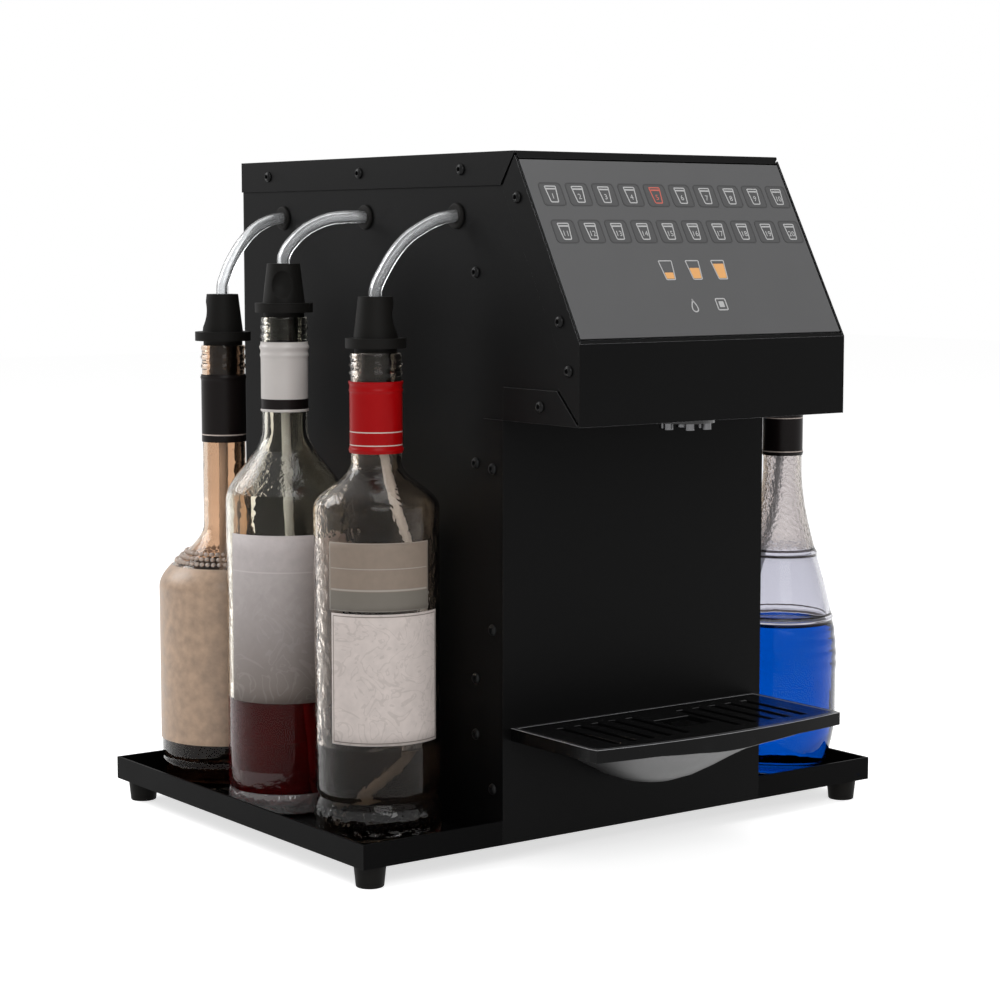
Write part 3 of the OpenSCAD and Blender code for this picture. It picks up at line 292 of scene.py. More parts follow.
def rounded(node, width, material, body="machine", edge=None, sharp=SHARP):
    """A copy of a CAD node with its edges rounded, as a piece that stands for the node."""
    mesh = bmesh.new()
    mesh.from_mesh(nodes[node].data)
    bmesh.ops.remove_doubles(mesh, verts=mesh.verts, dist=MERGE * MM)
    bmesh.ops.dissolve_limit(mesh, angle_limit=FLAT, verts=mesh.verts, edges=mesh.edges)
    made = made_mesh(mesh, f"{node}_shape")
    made.set_sharp_from_angle(angle=sharp)
    piece = add_piece(f"{node}_shape", made, material, SLOTS[node], body, [node])
    bevel = piece.modifiers.new("edge", "BEVEL")
    bevel.width = width * MM
    bevel.segments = BEVEL_STEPS
    bevel.limit_method = "ANGLE"
    bevel.angle_limit = sharp
    bevel.harden_normals = True
    # The edge finish goes on the rounded strips and is lighter than the body: a painted highlight.
    if edge:
        made.materials.append(edge)
        bevel.material = 1
    return piece


def plain_mesh(thing):
    """What an object looks like with its modifiers, as plain mesh data."""
    return bpy.data.meshes.new_from_object(thing.evaluated_get(bpy.context.evaluated_depsgraph_get()))


def bake(piece):
    """Turns a piece's modifiers into plain mesh."""
    made = plain_mesh(piece)
    piece.modifiers.clear()
    piece.data = made
    return made

# %% Casing, tray, mouldings and stoppers
# Upward shares of a face's normal: of an upright face at most, of an underside at most, of a level
# face at least
UPRIGHT, UNDERSIDE, LEVEL = 0.15, 0.2, 0.95
RIM_LOW, RIM_TOP, RIM_ROUND, RIM_SKIN = 77.9, 86.0, 1.0, 0.2
PANELS = ("left_side_panel", "right_side_panel", "top_cover", "rear_panel", "front_panel", "head_floor")
for node in PANELS:
    rounded(node, 0.4, powder_coat, edge=painted_edge_highlight)
head = bake(rounded("head_cover", 1.0, powder_coat, edge=painted_fold_highlight, sharp=FOLD))
# Slanted fold strips keep the painted highlight; upright strips go back to the powder coat.
for face in head.polygons:
    if abs(face.normal.z) < UPRIGHT:
        face.material_index = 0
tray = rounded("base_tray", 0.5, tray_coat)
tray.data.materials.append(tray_floor)
for face in tray.data.polygons:
    if face.normal.z > LEVEL and face.center.z < (TRAY_FLOOR_Z + 1) * MM:
        face.material_index = 1
rounded("touch_panel", 0.3, touch_film_painted_reflection)
rounded("rubber_feet", 1.2, moulded_rubber)
rounded("hose_grommets", 0.5, moulded_rubber)
rounded("nozzle_manifold", 0.8, nozzle_black)
# The rounded strips of the drip tray take the painted highlight.
drip_tray = bake(rounded("drip_tray", 0.8, gloss_black, "drip_tray", edge=painted_rim_highlight))
drip_tray.materials.append(belly_painted_reflection)
drip_tray.materials.append(painted_rim_top_sheen)
for face in drip_tray.polygons:
    height, upward = face.center.z / MM, face.normal.z
    # The underside below the rim takes the painted reflection.
    if height < RIM_LOW and upward < UNDERSIDE:
        face.material_index = 2
    # Level faces at the rim's top take the painted sheen.
    elif upward > LEVEL and height > RIM_TOP - RIM_SKIN:
        face.material_index = 3
    # Rounded strips below the rim's top go back to the plain moulding, so the painted highlight stays on
    # the top edge.
    elif height < RIM_TOP - RIM_ROUND:
        face.material_index = 0
rounded("drip_grille", 0.5, grille_black, "drip_grille")
rounded("power_inlet", 0.5, socket_black)
rounded("switch_frame", 0.5, socket_black)
rounded("switch_rocker", 0.4, rocker_red, "switch_rocker")
for place in PLACES:
    rounded(f"stopper_{place}", 0.8, moulded_rubber, f"{place}_bottle")

# %% [markdown]
# ## What the casing hides
# The pumps, boards and power supply show only through the vents or from below, but each keeps its
# CAD solid and gets its own finish.

# %% Finishes of the hidden solids
HIDDEN = {
    "touch_board": board_green, "control_board": board_green, "nozzle_tips": tip_steel,
    "pump_bracket": sheet_steel, "pump_motors": sheet_steel, "drip_socket": sheet_steel,
    "pump_heads": pump_grey, "pump_covers": clear_cover, "pump_hoses": silicone,
    "board_standoffs": turned_brass, "power_supply": pressed_aluminium,
    **{f"pump_rotor_{place}": rotor_white for place in PLACES},
}
for node, material in HIDDEN.items():
    nodes[node].data.materials.clear()
    nodes[node].data.materials.append(material)
print("hidden solids finished:", len(HIDDEN))

# %% [markdown]
# ## Copies by Geometry Nodes
# Screws, printed keys and glass beads repeat. One node tree serves them all: it puts a copy of a
# shape on every point of a mesh, turned so that the shape's upright follows the point's "facing"
# vector, and makes the copies real, because an exported model drops instances. The result is turned
# into a plain mesh, and the modifier goes.

# %% Node tree that places copies
def copies_tree():
    """Geometry Nodes: a shape on every point, upright along the attribute "facing"."""
    tree = bpy.data.node_groups.new("place_copies", "GeometryNodeTree")
    inputs = {"Points": "Geometry", "Shape": "Object", "Finish": "Material", "Size": "Float"}
    for name, kind in inputs.items():
        tree.interface.new_socket(name, in_out="INPUT", socket_type=f"NodeSocket{kind}")
    tree.interface.new_socket("Copies", in_out="OUTPUT", socket_type="NodeSocketGeometry")
    add = tree.nodes.new
    start, end = add("NodeGroupInput"), add("NodeGroupOutput")
    facing = add("GeometryNodeInputNamedAttribute")
    facing.data_type = "FLOAT_VECTOR"
    facing.inputs["Name"].default_value = "facing"
    turn = add("FunctionNodeAlignRotationToVector")
    turn.axis = "Z"
    shape = add("GeometryNodeObjectInfo")
    place = add("GeometryNodeInstanceOnPoints")
    real = add("GeometryNodeRealizeInstances")
    paint = add("GeometryNodeSetMaterial")
    for source, out, target, into in (
            (facing, "Attribute", turn, "Vector"), (start, "Shape", shape, "Object"),
            (start, "Points", place, "Points"), (shape, "Geometry", place, "Instance"),
            (turn, "Rotation", place, "Rotation"), (start, "Size", place, "Scale"),
            (place, "Instances", real, "Geometry"), (real, "Geometry", paint, "Geometry"),
            (start, "Finish", paint, "Material"), (paint, "Geometry", end, "Copies")):
        tree.links.new(source.outputs[out], target.inputs[into])
    return tree


COPIES = copies_tree()
INPUTS = {item.name: item.identifier for item in COPIES.interface.items_tree if item.in_out == "INPUT"}


def place_copies(name, shape_mesh, spots, material, slot, body, replaced=(), size=1.0):
    """A piece made of copies of a shape at spots, a list of (place in metres, facing)."""
    points = bpy.data.meshes.new(name)
    points.from_pydata([tuple(p) for p, _ in spots], [], [])
    facing = points.attributes.new("facing", "FLOAT_VECTOR", "POINT")
    facing.data.foreach_set("vector", [c for _, f in spots for c in f])
    holder = put(name, points)
    shape = put(f"{name}_one", shape_mesh)
    modifier = holder.modifiers.new("copies", "NODES")
    modifier.node_group = COPIES
    modifier[INPUTS["Shape"]] = shape
    modifier[INPUTS["Finish"]] = material
    modifier[INPUTS["Size"]] = size
    bpy.context.view_layer.update()
    mesh = plain_mesh(holder)
    bpy.data.objects.remove(holder)
    bpy.data.objects.remove(shape)
    mesh.name = name
    return add_piece(name, mesh, material, slot, body, replaced)


print("inputs of the tree:", sorted(INPUTS))

# %% [markdown]
# ## Screws
# The casing is held by button-head screws with a hexagon socket. Their places are read from the CAD
# solid: the screws are its loose parts, and the head is the wide end of each. One screw is turned as
# a lathe would, with a domed head; the wall of its socket is then pressed to six flats. It is copied to
# every place.

# %% A lathe for turned shapes
def lathe(name, profile, at=(0, 0, 0), sides=64, sharp=30):
    """A turned shape from (radius, height) pairs that run up its outside, in millimetres."""
    mesh = bmesh.new()
    rings = []
    for radius, height in profile:
        centre = Vector(at) + Vector((0, 0, height))
        if radius == 0:
            rings.append([mesh.verts.new(centre * MM)])
        else:
            rings.append([mesh.verts.new((centre + radius * Vector((math.cos(a), math.sin(a), 0))) * MM)
                          for a in (2 * math.pi * k / sides for k in range(sides))])
    for low, high in zip(rings, rings[1:]):
        for k in range(sides):
            n = (k + 1) % sides
            corners = [low[k % len(low)], low[n % len(low)], high[n % len(high)], high[k % len(high)]]
            mesh.faces.new(list(dict.fromkeys(corners)))
    made = made_mesh(mesh, name)
    made.set_sharp_from_angle(angle=math.radians(sharp))
    return made

# %% Places of the screws, from the CAD solid
def loose_parts(mesh):
    """The vertices of each separate shell of a mesh, found by walking along its edges."""
    work = bmesh.new()
    work.from_mesh(mesh)
    bmesh.ops.remove_doubles(work, verts=work.verts, dist=MERGE * MM)
    left = set(work.verts)
    while left:
        found, edge = set(), {left.pop()}
        while edge:
            found |= edge
            edge = {e.other_vert(v) for v in edge for e in v.link_edges} - found
        left -= found
        yield [v.co.copy() for v in found]
    work.free()


SCREW_HEAD_H, SCREW_HEAD_R, SCREW_R, SCREW_L, HEX_R = 2.0, 3.5, 1.8, 7.0, 1.55
# Dome of a screw's head, as shares of its radius and heights
SCREW_DOME = ((0.94, 1.05), (0.82, 1.5), (0.66, 1.82))
SIXTH_TURN = math.pi / 3


def screw_spot(points):
    """The seat of a screw's head and the way that it faces: the head is its wide end."""
    low = Vector([min(p[i] for p in points) for i in range(3)])
    high = Vector([max(p[i] for p in points) for i in range(3)])
    axis = max(range(3), key=lambda i: (high - low)[i])
    along = Vector([float(i == axis) for i in range(3)])
    middle = (low + high) / 2
    wide = max(points, key=lambda p: (p - middle - (p - middle)[axis] * along).length)
    sign = 1 if wide[axis] > middle[axis] else -1
    seat = middle.copy()
    seat[axis] = (high if sign > 0 else low)[axis] - sign * SCREW_HEAD_H * MM
    return seat, sign * along


screw_mesh = lathe("screw", [
    (0, -SCREW_L), (SCREW_R * 0.8, -SCREW_L), (SCREW_R, -SCREW_L + 0.5), (SCREW_R, 0),
    (SCREW_HEAD_R - 0.2, 0), (SCREW_HEAD_R, 0.2), (SCREW_HEAD_R, 0.5),
    *((SCREW_HEAD_R * share, height) for share, height in SCREW_DOME),
    (HEX_R + 0.25, SCREW_HEAD_H), (HEX_R, SCREW_HEAD_H - 0.15), (HEX_R, 0.8), (0, 0.6)], sides=24)
for vertex in screw_mesh.vertices:
    if vertex.co.z > 0 and vertex.co.xy.length < (HEX_R + 0.01) * MM:
        turn = math.atan2(vertex.co.y, vertex.co.x) % SIXTH_TURN - SIXTH_TURN / 2
        vertex.co.xy *= math.cos(SIXTH_TURN / 2) / math.cos(turn)
spots = [screw_spot(part) for part in loose_parts(nodes["casing_screws"].data)]
spots.sort(key=lambda spot: tuple(spot[0]))
place_copies("casing_screws_turned", screw_mesh, spots, black_screw, "screw_steel", "machine",
             ["casing_screws"])
print("screws:", len(spots))

# %% [markdown]
# ## Bottles
# Glass is the hardest thing to fake and the easiest to build: a bottle has an outside and an inside
# wall, and the shader bends light at both. Each bottle is turned from the same outline as its CAD
# solid, with the details that glass shows: a rounded heel, moulded rings, and a screw finish under
# the mouth. The drink overlaps the inside wall by a hair, so that no film of air shines between them.

# %% Glass and drinks
def glass(name, tint, ripple=0.05, scale=45.0, relief=0.2, rough=0.012, shine=0.25, clear=1.0):
    """Glass with the ripple of a moulded wall; shine tones down what it mirrors of the white room."""
    return finish(name, tint, rough, grain=scale, depth=ripple, drift=0.02, relief=relief,
                  Transmission_Weight=clear, IOR=1.5, Specular_Tint=(shine, shine, shine, 1))


def drink(name, colour, clear=1.0, shine=0.15):
    """A liquid that takes its colour from the light it lets through, and is cloudy where not clear."""
    return finish(name, colour, 0.0, depth=0, drift=0.05, blotch=8.0, gloss=0.1,
                  Transmission_Weight=clear, IOR=1.34, Specular_Tint=(shine, shine, shine, 1))


flint = glass("flint_glass", (0.86, 0.78, 0.7), ripple=0.8, scale=130.0, relief=0.7, shine=0.22)
olive_flint = glass("olive_flint_glass", (0.83, 0.8, 0.71), ripple=0.35, scale=110.0, relief=0.5,
                    shine=0.16)
amber_flint = glass("amber_flint_glass", (0.74, 0.57, 0.44), ripple=0.6, scale=90.0, relief=0.6)
lilac_flint = glass("lilac_flint_glass", (0.65, 0.65, 0.7), ripple=0.25, scale=90.0, relief=0.4,
                    shine=0.12)
dotted = glass("dotted_glass", (0.71, 0.65, 0.6), ripple=1.0, scale=430.0, relief=1.1, rough=0.1)
pressed = glass("pressed_pattern_glass", (0.74, 0.71, 0.64), ripple=0.9, scale=330.0, relief=0.6,
                shine=0.6)
foot_glass = glass("heavy_foot_glass", (0.66, 0.65, 0.63), ripple=1.0, scale=150.0, relief=2.4,
                   shine=0.6)
# The crumple of the foot is moulded; its cloudy share makes it bright, which is partly a painted
# highlight.
crumple_foot_painted_highlight = glass("crumpled_foot_glass", (0.86, 0.86, 0.86), ripple=1.0, scale=130.0, relief=3.0,
                 shine=1.0, clear=0.85)
# Thin dark bands where refraction draws dark lines at the pin bottle's rings: painted shade.
painted_shade_band = glass("dark_ring_glass", (0.02, 0.016, 0.016))
dark_spirit = drink("dark_spirit", (0.19, 0.155, 0.125), 0.99)
red_cordial = drink("red_cordial", (0.2, 0.006, 0.008), 0.72, shine=0.06)
brown_liqueur = drink("brown_liqueur", (0.016, 0.009, 0.007), 0.85)
blue_liqueur = drink("blue_liqueur", (0.0004, 0.11, 0.62), shine=0.06)
gold_rum = drink("gold_rum", (0.75, 0.36, 0.06))
green_liqueur = drink("green_liqueur", (0.1, 0.45, 0.08))

# %% Outlines of the four bottle shapes
FOOT_STEPS, SHOULDER_STEPS, WALL, FLOOR, DOME, MOUTH_R, LIP_H = 8, 24, 3.0, 6.0, 2.0, 9.3, 0.4
# shape: body radius, foot radius, foot height, shoulder start, shoulder height, neck radius, mouth
SHAPES = {
    "straight": (38.5, 35.5, 3, 204, 28, 15.5, 298),
    "sloping": (38.5, 35.5, 3, 199, 46, 14.5, 317),
    "decanter": (44, 41, 3, 134, 42, 14.25, 296),
    "pin": (38, 28, 45, 80, 135, 13, 285),
}
# shape: moulded rings and grooves as (height, half width, rise)
RINGS = {
    "straight": [(7, 3, 0.9), (17, 3.5, 1.3), (27, 3, -2.2),
        (286, 1.3, 0.9), (291, 1.3, 0.9), (296, 1.3, 0.6)],
    "sloping": [(14, 2, -1.0), (305, 1.3, 0.9), (310, 1.3, 0.9), (315, 1.3, 0.6)],
    "decanter": [(20, 2, -0.8), (282, 1.3, 0.9), (288, 1.3, 0.9), (294, 1.3, 0.6)],
    "pin": [*((at, 3, 0.5) for at in (78, 86, 94, 102)), (111, 1.6, 0.8), (155, 1.8, 0.9),
        (274, 1.3, 0.9), (280, 1.3, 0.7)],
}
# shape: its glass, and bands of other glass on its outside as (low end, high end, glass)
GLASSES = {
    "straight": (flint, [(1, 23, foot_glass)]),
    "sloping": (olive_flint, [(1, 14, crumple_foot_painted_highlight), (17, 28, pressed), (205, 232, pressed)]),
    "decanter": (amber_flint, []),
    # The near-black bands on the pin bottle are painted shade.
    "pin": (lilac_flint, [(107.2, 109.2, painted_shade_band), (112.5, 113.5, painted_shade_band),
        (152.6, 154.2, painted_shade_band), (156.2, 157.8, painted_shade_band), (158, 222, dotted)]),
}


def glass_radius(shape, z):
    """Outside radius of a bottle at a height, without its rings."""
    body, foot, foot_h, shoulder, shoulder_h, neck, _ = SHAPES[shape]
    if z < foot_h:
        return foot + (body - foot) * math.sin(math.pi / 2 * z / foot_h)
    if z < shoulder:
        return body
    if z < shoulder + shoulder_h:
        return neck + (body - neck) * (1 + math.cos(math.pi * (z - shoulder) / shoulder_h)) / 2
    return neck


def ring_rise(shape, z):
    """How far the moulded rings stand out at a height."""
    return sum(rise * math.exp(-((z - at) / half) ** 2) for at, half, rise in RINGS[shape])


def outline_heights(shape):
    """Heights that follow a bottle's curves and rings closely and its straight parts loosely."""
    _, _, foot_h, shoulder, shoulder_h, _, mouth = SHAPES[shape]
    heights = {foot_h * k / FOOT_STEPS for k in range(FOOT_STEPS + 1)}
    heights |= {shoulder + shoulder_h * k / SHOULDER_STEPS for k in range(SHOULDER_STEPS + 1)}
    heights |= {at + half * k / 2 for at, half, _ in RINGS[shape] for k in range(-4, 5)}
    heights |= {end for low, high, _ in GLASSES[shape][1] for end in (low, high)}
    return sorted(h for h in heights | {mouth - LIP_H} if 0 <= h < mouth)

# %% Dip tubes and fills
DIP_R, DIP_BORE_R, PLUG, DIP_GAP = 3.0, 2.0, 20.0, 5.0
# Runs of a dip tube, as shares of the room beside it and of the height below the shoulder
LEANING = ((0.05, 1), (0.15, 0.7), (0.3, 0.35), (0.45, 0))
CURLED = ((0.32, 1.24), (0.54, 1.11), (0.4, 0.98), (0.7, 0.83), (0.89, 0.67),
          (0.89, 0.49), (0.74, 0.33), (0.4, 0.21), (-0.12, 0.1), (-0.62, 0.01))
ASIDE = ((0.5, 2.6), (0.75, 2.0), (0.8, 1.4), (0.75, 0.7), (0.6, 0))
# place: bottle shape, drink, fill height, direction in which the dip tube leaves the axis, its run
FILLS = {
    "left_front": ("straight", dark_spirit, 60, -36, CURLED),
    "left_middle": ("sloping", red_cordial, 73, -36, LEANING),
    "left_rear": ("decanter", brown_liqueur, 58, 180, LEANING),
    "right_front": ("pin", blue_liqueur, 107, 144, ASIDE),
    "right_middle": ("straight", gold_rum, 150, 90, LEANING),
    "right_rear": ("sloping", green_liqueur, 120, 0, LEANING),
}
print("fill heights:", {place: fill[2] for place, fill in FILLS.items()})

# %% Outlines of glass and drink
BOTTLE_SIDES, DIP_SIDES, OVERLAP = 96, 16, 0.1
# The rounded rim of the inside floor, the hollow under the foot, and the rounded lip
HEEL_IN, HEEL_EDGE, HEEL_UP = 4.0, 1.0, 0.6
PUNT_UP, PUNT_EDGE_UP, PUNT_SHARE, LIP_ROUND = 1.5, 1.0, 0.8, 0.5
# The drink's edge, as distances in from the glass and down from the fill height
MENISCUS, MENISCUS_ROOM = ((1.0, 0.8), (2.5, 1.2)), 3.0


def inner_radius(shape, z):
    """Inside radius of a bottle at a height."""
    return max(MOUTH_R, glass_radius(shape, z) - WALL)


def floor_points(shape, down=0.0):
    """The inside of a bottle's foot from its middle out: a dome with a rounded rim."""
    rim = glass_radius(shape, FLOOR) - WALL
    return [(0, FLOOR + DOME - down), (rim - HEEL_IN, FLOOR - down),
            (rim - HEEL_EDGE, FLOOR + HEEL_UP - down)]


def bottle_profile(shape):
    """Outside and inside of a bottle as one closed outline."""
    mouth, heights = SHAPES[shape][-1], outline_heights(shape)
    outside = [(glass_radius(shape, z) + ring_rise(shape, z), z) for z in heights]
    inside = [(inner_radius(shape, z), z) for z in heights if z > FLOOR + DOME]
    return [(0, PUNT_UP), (outside[0][0] * PUNT_SHARE, PUNT_EDGE_UP), *outside,
            (outside[-1][0] - LIP_ROUND, mouth), (MOUTH_R + LIP_ROUND, mouth), *reversed(inside),
            *reversed(floor_points(shape))]


def drink_profile(shape, fill):
    """The drink's outline, overlapping the glass by a hair, with its meniscus."""
    heights = [h for h in outline_heights(shape) if FLOOR + DOME < h < fill - MENISCUS_ROOM]
    wall = [(inner_radius(shape, z) + OVERLAP, z) for z in (FLOOR + DOME, *heights, fill)]
    top = wall[-1][0]
    return [*floor_points(shape, OVERLAP), *wall,
            *((top - inward, fill - down) for inward, down in MENISCUS), (0, fill - MENISCUS[-1][1])]


def paint_bands(piece, axis, bands):
    """Gives the faces on a turned piece's outside other finishes, by height above the bottle's foot."""
    for number, (low, high, material) in enumerate(bands, 1):
        piece.data.materials.append(material)
        for face in piece.data.polygons:
            height = face.center.z / MM - axis[2]
            outward = Vector((face.center.x / MM - axis[0], face.center.y / MM - axis[1], 0))
            if low < height < high and face.normal.dot(outward) > 0:
                face.material_index = number

# %% Bottles, drinks and dip tubes in their places
for place, (shape, liquid, fill, lean_angle, run) in FILLS.items():
    axis = (*PLACES[place][2], TRAY_FLOOR_Z)
    body = f"{place}_bottle"
    shoulder, mouth = SHAPES[shape][3], SHAPES[shape][-1]
    material, bands = GLASSES[shape]
    name = f"bottle_{place}_glass"
    turned = lathe(name, bottle_profile(shape), axis, BOTTLE_SIDES)
    bottle = add_piece(name, turned, material, "bottle_glass", body, [f"bottle_{place}"])
    paint_bands(bottle, axis, bands)
    name = f"drink_{place}"
    add_piece(name, lathe(name, drink_profile(shape, fill), axis, BOTTLE_SIDES), liquid, None, body)
    low = FLOOR + DIP_GAP
    route = [Vector((0, 0, mouth + STOPPER_H - HOSE_SET)), Vector((0, 0, mouth - PLUG))]
    for across, up in run:
        z = low + up * (shoulder - low)
        route.append(Vector((across * (glass_radius(shape, z) - WALL - DIP_R), 0, z)))
    turn = Matrix.Rotation(math.radians(lean_angle), 3, "Z")
    route = smooth_route([(turn @ p + Vector(axis)) * MM for p in route])
    name = f"dip_tube_{place}_clear"
    add_piece(name, tube_mesh(name, route, DIP_R * MM, DIP_BORE_R * MM, DIP_SIDES), milky_silicone,
              "clear_silicone", body, [f"dip_tube_{place}"])
print("bottles:", len(FILLS))

# %% [markdown]
# ## Neck sleeves and labels
# A shrink sleeve or a foil covers part of each neck, a frosted coat covers the decanter's body, and
# paper labels wrap the others. Sleeves and coat are turned shells that follow the glass, with rolled
# ribs and printed rings. Labels are strips that follow the glass, with a UV map, so that their plain
# printed borders follow the paper.

# %% Sleeves
sleeve_red = finish("red_foil", (0.31, 0.002, 0.003), 0.3, grain=600, depth=0.12, gloss=0.1)
sleeve_white = finish("white_foil", (0.5, 0.47, 0.45), 0.38, grain=600, depth=0.12)
sleeve_black = finish("black_foil", (0.007, 0.005, 0.0048), 0.34, grain=600, depth=0.12, gloss=0.1)
pale_line = finish("pale_foil_line", (0.5, 0.42, 0.38), 0.4, grain=600, depth=0.1)
frosted_coat = finish("frosted_beige_coat", (0.38, 0.262, 0.18), 0.4, grain=420, depth=0.8, drift=0.5,
                      blotch=150.0)
# piece: place, finish, low end, high end, ribs as (height above the low end, half width, rise), bands
SLEEVES = {
    "sleeve_left_front": ("left_front", sleeve_red, 237.5, 281,
        [(2, 1.2, 0.7), (43, 1.4, 0.7), (38, 0.9, 0.4)],
        [(242.2, 242.9, pale_line), (250.2, 250.9, pale_line)]),
    "sleeve_left_middle": ("left_middle", sleeve_white, 256.8, 301.3,
        [(1, 0.8, 0.4), (41, 1.5, 0.8), (36, 1.2, 0.5)],
        [(258.5, 264.9, sleeve_black)]),
    "sleeve_left_rear": ("left_rear", sleeve_black, 231.5, 276.5, [(43, 1.2, 0.5)],
        [(236, 236.8, pale_line)]),
    "sleeve_right_front": ("right_front", sleeve_black, 221, 268, [(2, 1, 0.5), (40, 1.2, 0.5)],
        [(223.4, 224, pale_line), (246, 246.6, pale_line)]),
    "sleeve_right_middle": ("right_middle", sleeve_black, 237.5, 281, [(2, 1.2, 0.7), (43, 1.4, 0.7)],
        [(243, 243.8, pale_line)]),
    "sleeve_right_rear": ("right_rear", sleeve_red, 256.8, 301.3, [(1, 0.8, 0.4), (41, 1.5, 0.8)],
        [(258.5, 264.9, sleeve_white)]),
    "coat_left_rear": ("left_rear", frosted_coat, 32, 149, [], []),
}
SLEEVE_GAP, SLEEVE_T, SLEEVE_STEP, SLEEVE_SIDES = 0.1, 0.5, 0.6, 72
for name, (place, material, low, high, ribs, bands) in SLEEVES.items():
    shape, axis = FILLS[place][0], (*PLACES[place][2], TRAY_FLOOR_Z)
    steps = int((high - low) / SLEEVE_STEP)
    heights = {low + (high - low) * k / steps for k in range(steps + 1)}
    outside, inside = [], []
    for z in sorted(heights | {end for band in bands for end in band[:2]}):
        radius = glass_radius(shape, z) + SLEEVE_GAP + max(0, ring_rise(shape, z))
        rise = sum(r * math.exp(-((z - low - at) / half) ** 2) for at, half, r in ribs)
        outside.append((radius + SLEEVE_T + rise, z))
        inside.append((radius, z))
    profile = [inside[0], *outside, *reversed(inside)]
    sleeve = add_piece(name, lathe(name, profile, axis, SLEEVE_SIDES), material, None, f"{place}_bottle")
    paint_bands(sleeve, axis, bands)
print("sleeves:", len(SLEEVES))

# %% Label paper with plain print
SKETCH_SCALE, SKETCH_DETAIL, SKETCH_CURL, SKETCH_LEVELS, SKETCH_LINE = 3.2, 3.0, 1.2, 9.0, 0.09
# Rules stop short of the label's sides by this many borders
RULE_INSET = 2.2


def label_paper(name, paper, ink, border, line, rules=(), stripe=None, foot=None, sketch=0.0):
    """Paper with fibres and plain print, drawn from the UV map.

    Border and rules are thin lines of ink, a stripe is a band of another colour as (low, high, colour),
    foot is the colour to which the paper fades downwards, and sketch is the strength of curling lines."""
    material = finish(name, paper, 0.62, grain=2600, depth=0.3, drift=0.16, blotch=190.0)
    tree = material.node_tree
    shader = tree.nodes["Principled BSDF"]

    def calc(operation, *values):
        node = add_node(tree, "Math")
        node.operation = operation
        for socket, value in zip(node.inputs, values):
            if hasattr(value, "links"):
                tree.links.new(value, socket)
            else:
                socket.default_value = value
        return node.outputs[0]

    def over(below, colour, share):
        node = add_node(tree, "Mix")
        node.data_type = "RGBA"
        tree.links.new(share, node.inputs["Factor"])
        tree.links.new(below, node.inputs["A"])
        node.inputs["B"].default_value = (*colour, 1)
        return node.outputs["Result"]

    uv = add_node(tree, "UVMap")
    uv.uv_map = "label"
    split = add_node(tree, "SeparateXYZ")
    tree.links.new(uv.outputs["UV"], split.inputs["Vector"])
    u, v = split.outputs["X"], split.outputs["Y"]
    colour = shader.inputs["Base Color"].links[0].from_socket
    if foot:
        colour = over(colour, foot, calc("SUBTRACT", 1.0, v))
    if stripe:
        low, high, tone = stripe
        colour = over(colour, tone, calc("COMPARE", v, (low + high) / 2, (high - low) / 2))
    if sketch:
        swirl = add_node(tree, "TexNoise", Scale=SKETCH_SCALE, Detail=SKETCH_DETAIL,
                         Distortion=SKETCH_CURL)
        tree.links.new(uv.outputs["UV"], swirl.inputs["Vector"])
        levels = calc("FRACT", calc("MULTIPLY", swirl.outputs["Fac"], SKETCH_LEVELS))
        lines = calc("COMPARE", levels, 0.5, SKETCH_LINE)
        colour = over(colour, ink, calc("MULTIPLY", lines, sketch))
    edge_u = calc("SUBTRACT", 0.5, calc("ABSOLUTE", calc("SUBTRACT", u, 0.5)))
    edge_v = calc("SUBTRACT", 0.5, calc("ABSOLUTE", calc("SUBTRACT", v, 0.5)))
    mark = calc("COMPARE", calc("MINIMUM", edge_u, edge_v), border, line)
    for height, half in rules:
        inside = calc("GREATER_THAN", edge_u, border * RULE_INSET)
        mark = calc("MAXIMUM", mark, calc("MULTIPLY", calc("COMPARE", v, height, half), inside))
    tree.links.new(over(colour, ink, mark), shader.inputs["Base Color"])
    return material


LABEL_GAP, LABEL_T = 0.12, 0.16


def label_mesh(name, shape, axis, low, high, middle, span, columns=48, rows=10):
    """A strip that follows a bottle's glass, with a UV map called label."""
    mesh = bmesh.new()
    uv = mesh.loops.layers.uv.new("label")
    grid = []
    for r in range(rows + 1):
        z = low + (high - low) * r / rows
        radius = glass_radius(shape, z) + LABEL_GAP
        ring = []
        for c in range(columns + 1):
            a = math.radians(middle + span * (c / columns - 0.5))
            spot = Vector(axis) + Vector((radius * math.cos(a), radius * math.sin(a), z))
            ring.append(mesh.verts.new(spot * MM))
        grid.append(ring)
    for r in range(rows):
        for c in range(columns):
            face = mesh.faces.new([grid[r][c], grid[r][c + 1], grid[r + 1][c + 1], grid[r + 1][c]])
            for loop, (dc, dr) in zip(face.loops, ((0, 0), (1, 0), (1, 1), (0, 1))):
                loop[uv].uv = ((c + dc) / columns, (r + dr) / rows)
    return made_mesh(mesh, name)

# %% Labels
white_paper = label_paper("white_label", (0.55, 0.485, 0.455), (0.2, 0.17, 0.15), 0.02, 0.004, sketch=0.2)
beige_paper = label_paper("beige_label", (0.2, 0.155, 0.12), (0.3, 0.27, 0.24), 0.01, 0.003,
                          ((0.31, 0.012), (0.62, 0.006)), stripe=(0.0, 0.29, (0.13, 0.115, 0.095)))
lavender_paper = label_paper("lavender_label", (0.5, 0.455, 0.45), (0.5, 0.46, 0.45), -1.0, 0.004,
                             ((0.78, 0.004), (0.985, 0.006)), foot=(0.13, 0.105, 0.09), sketch=0.1)
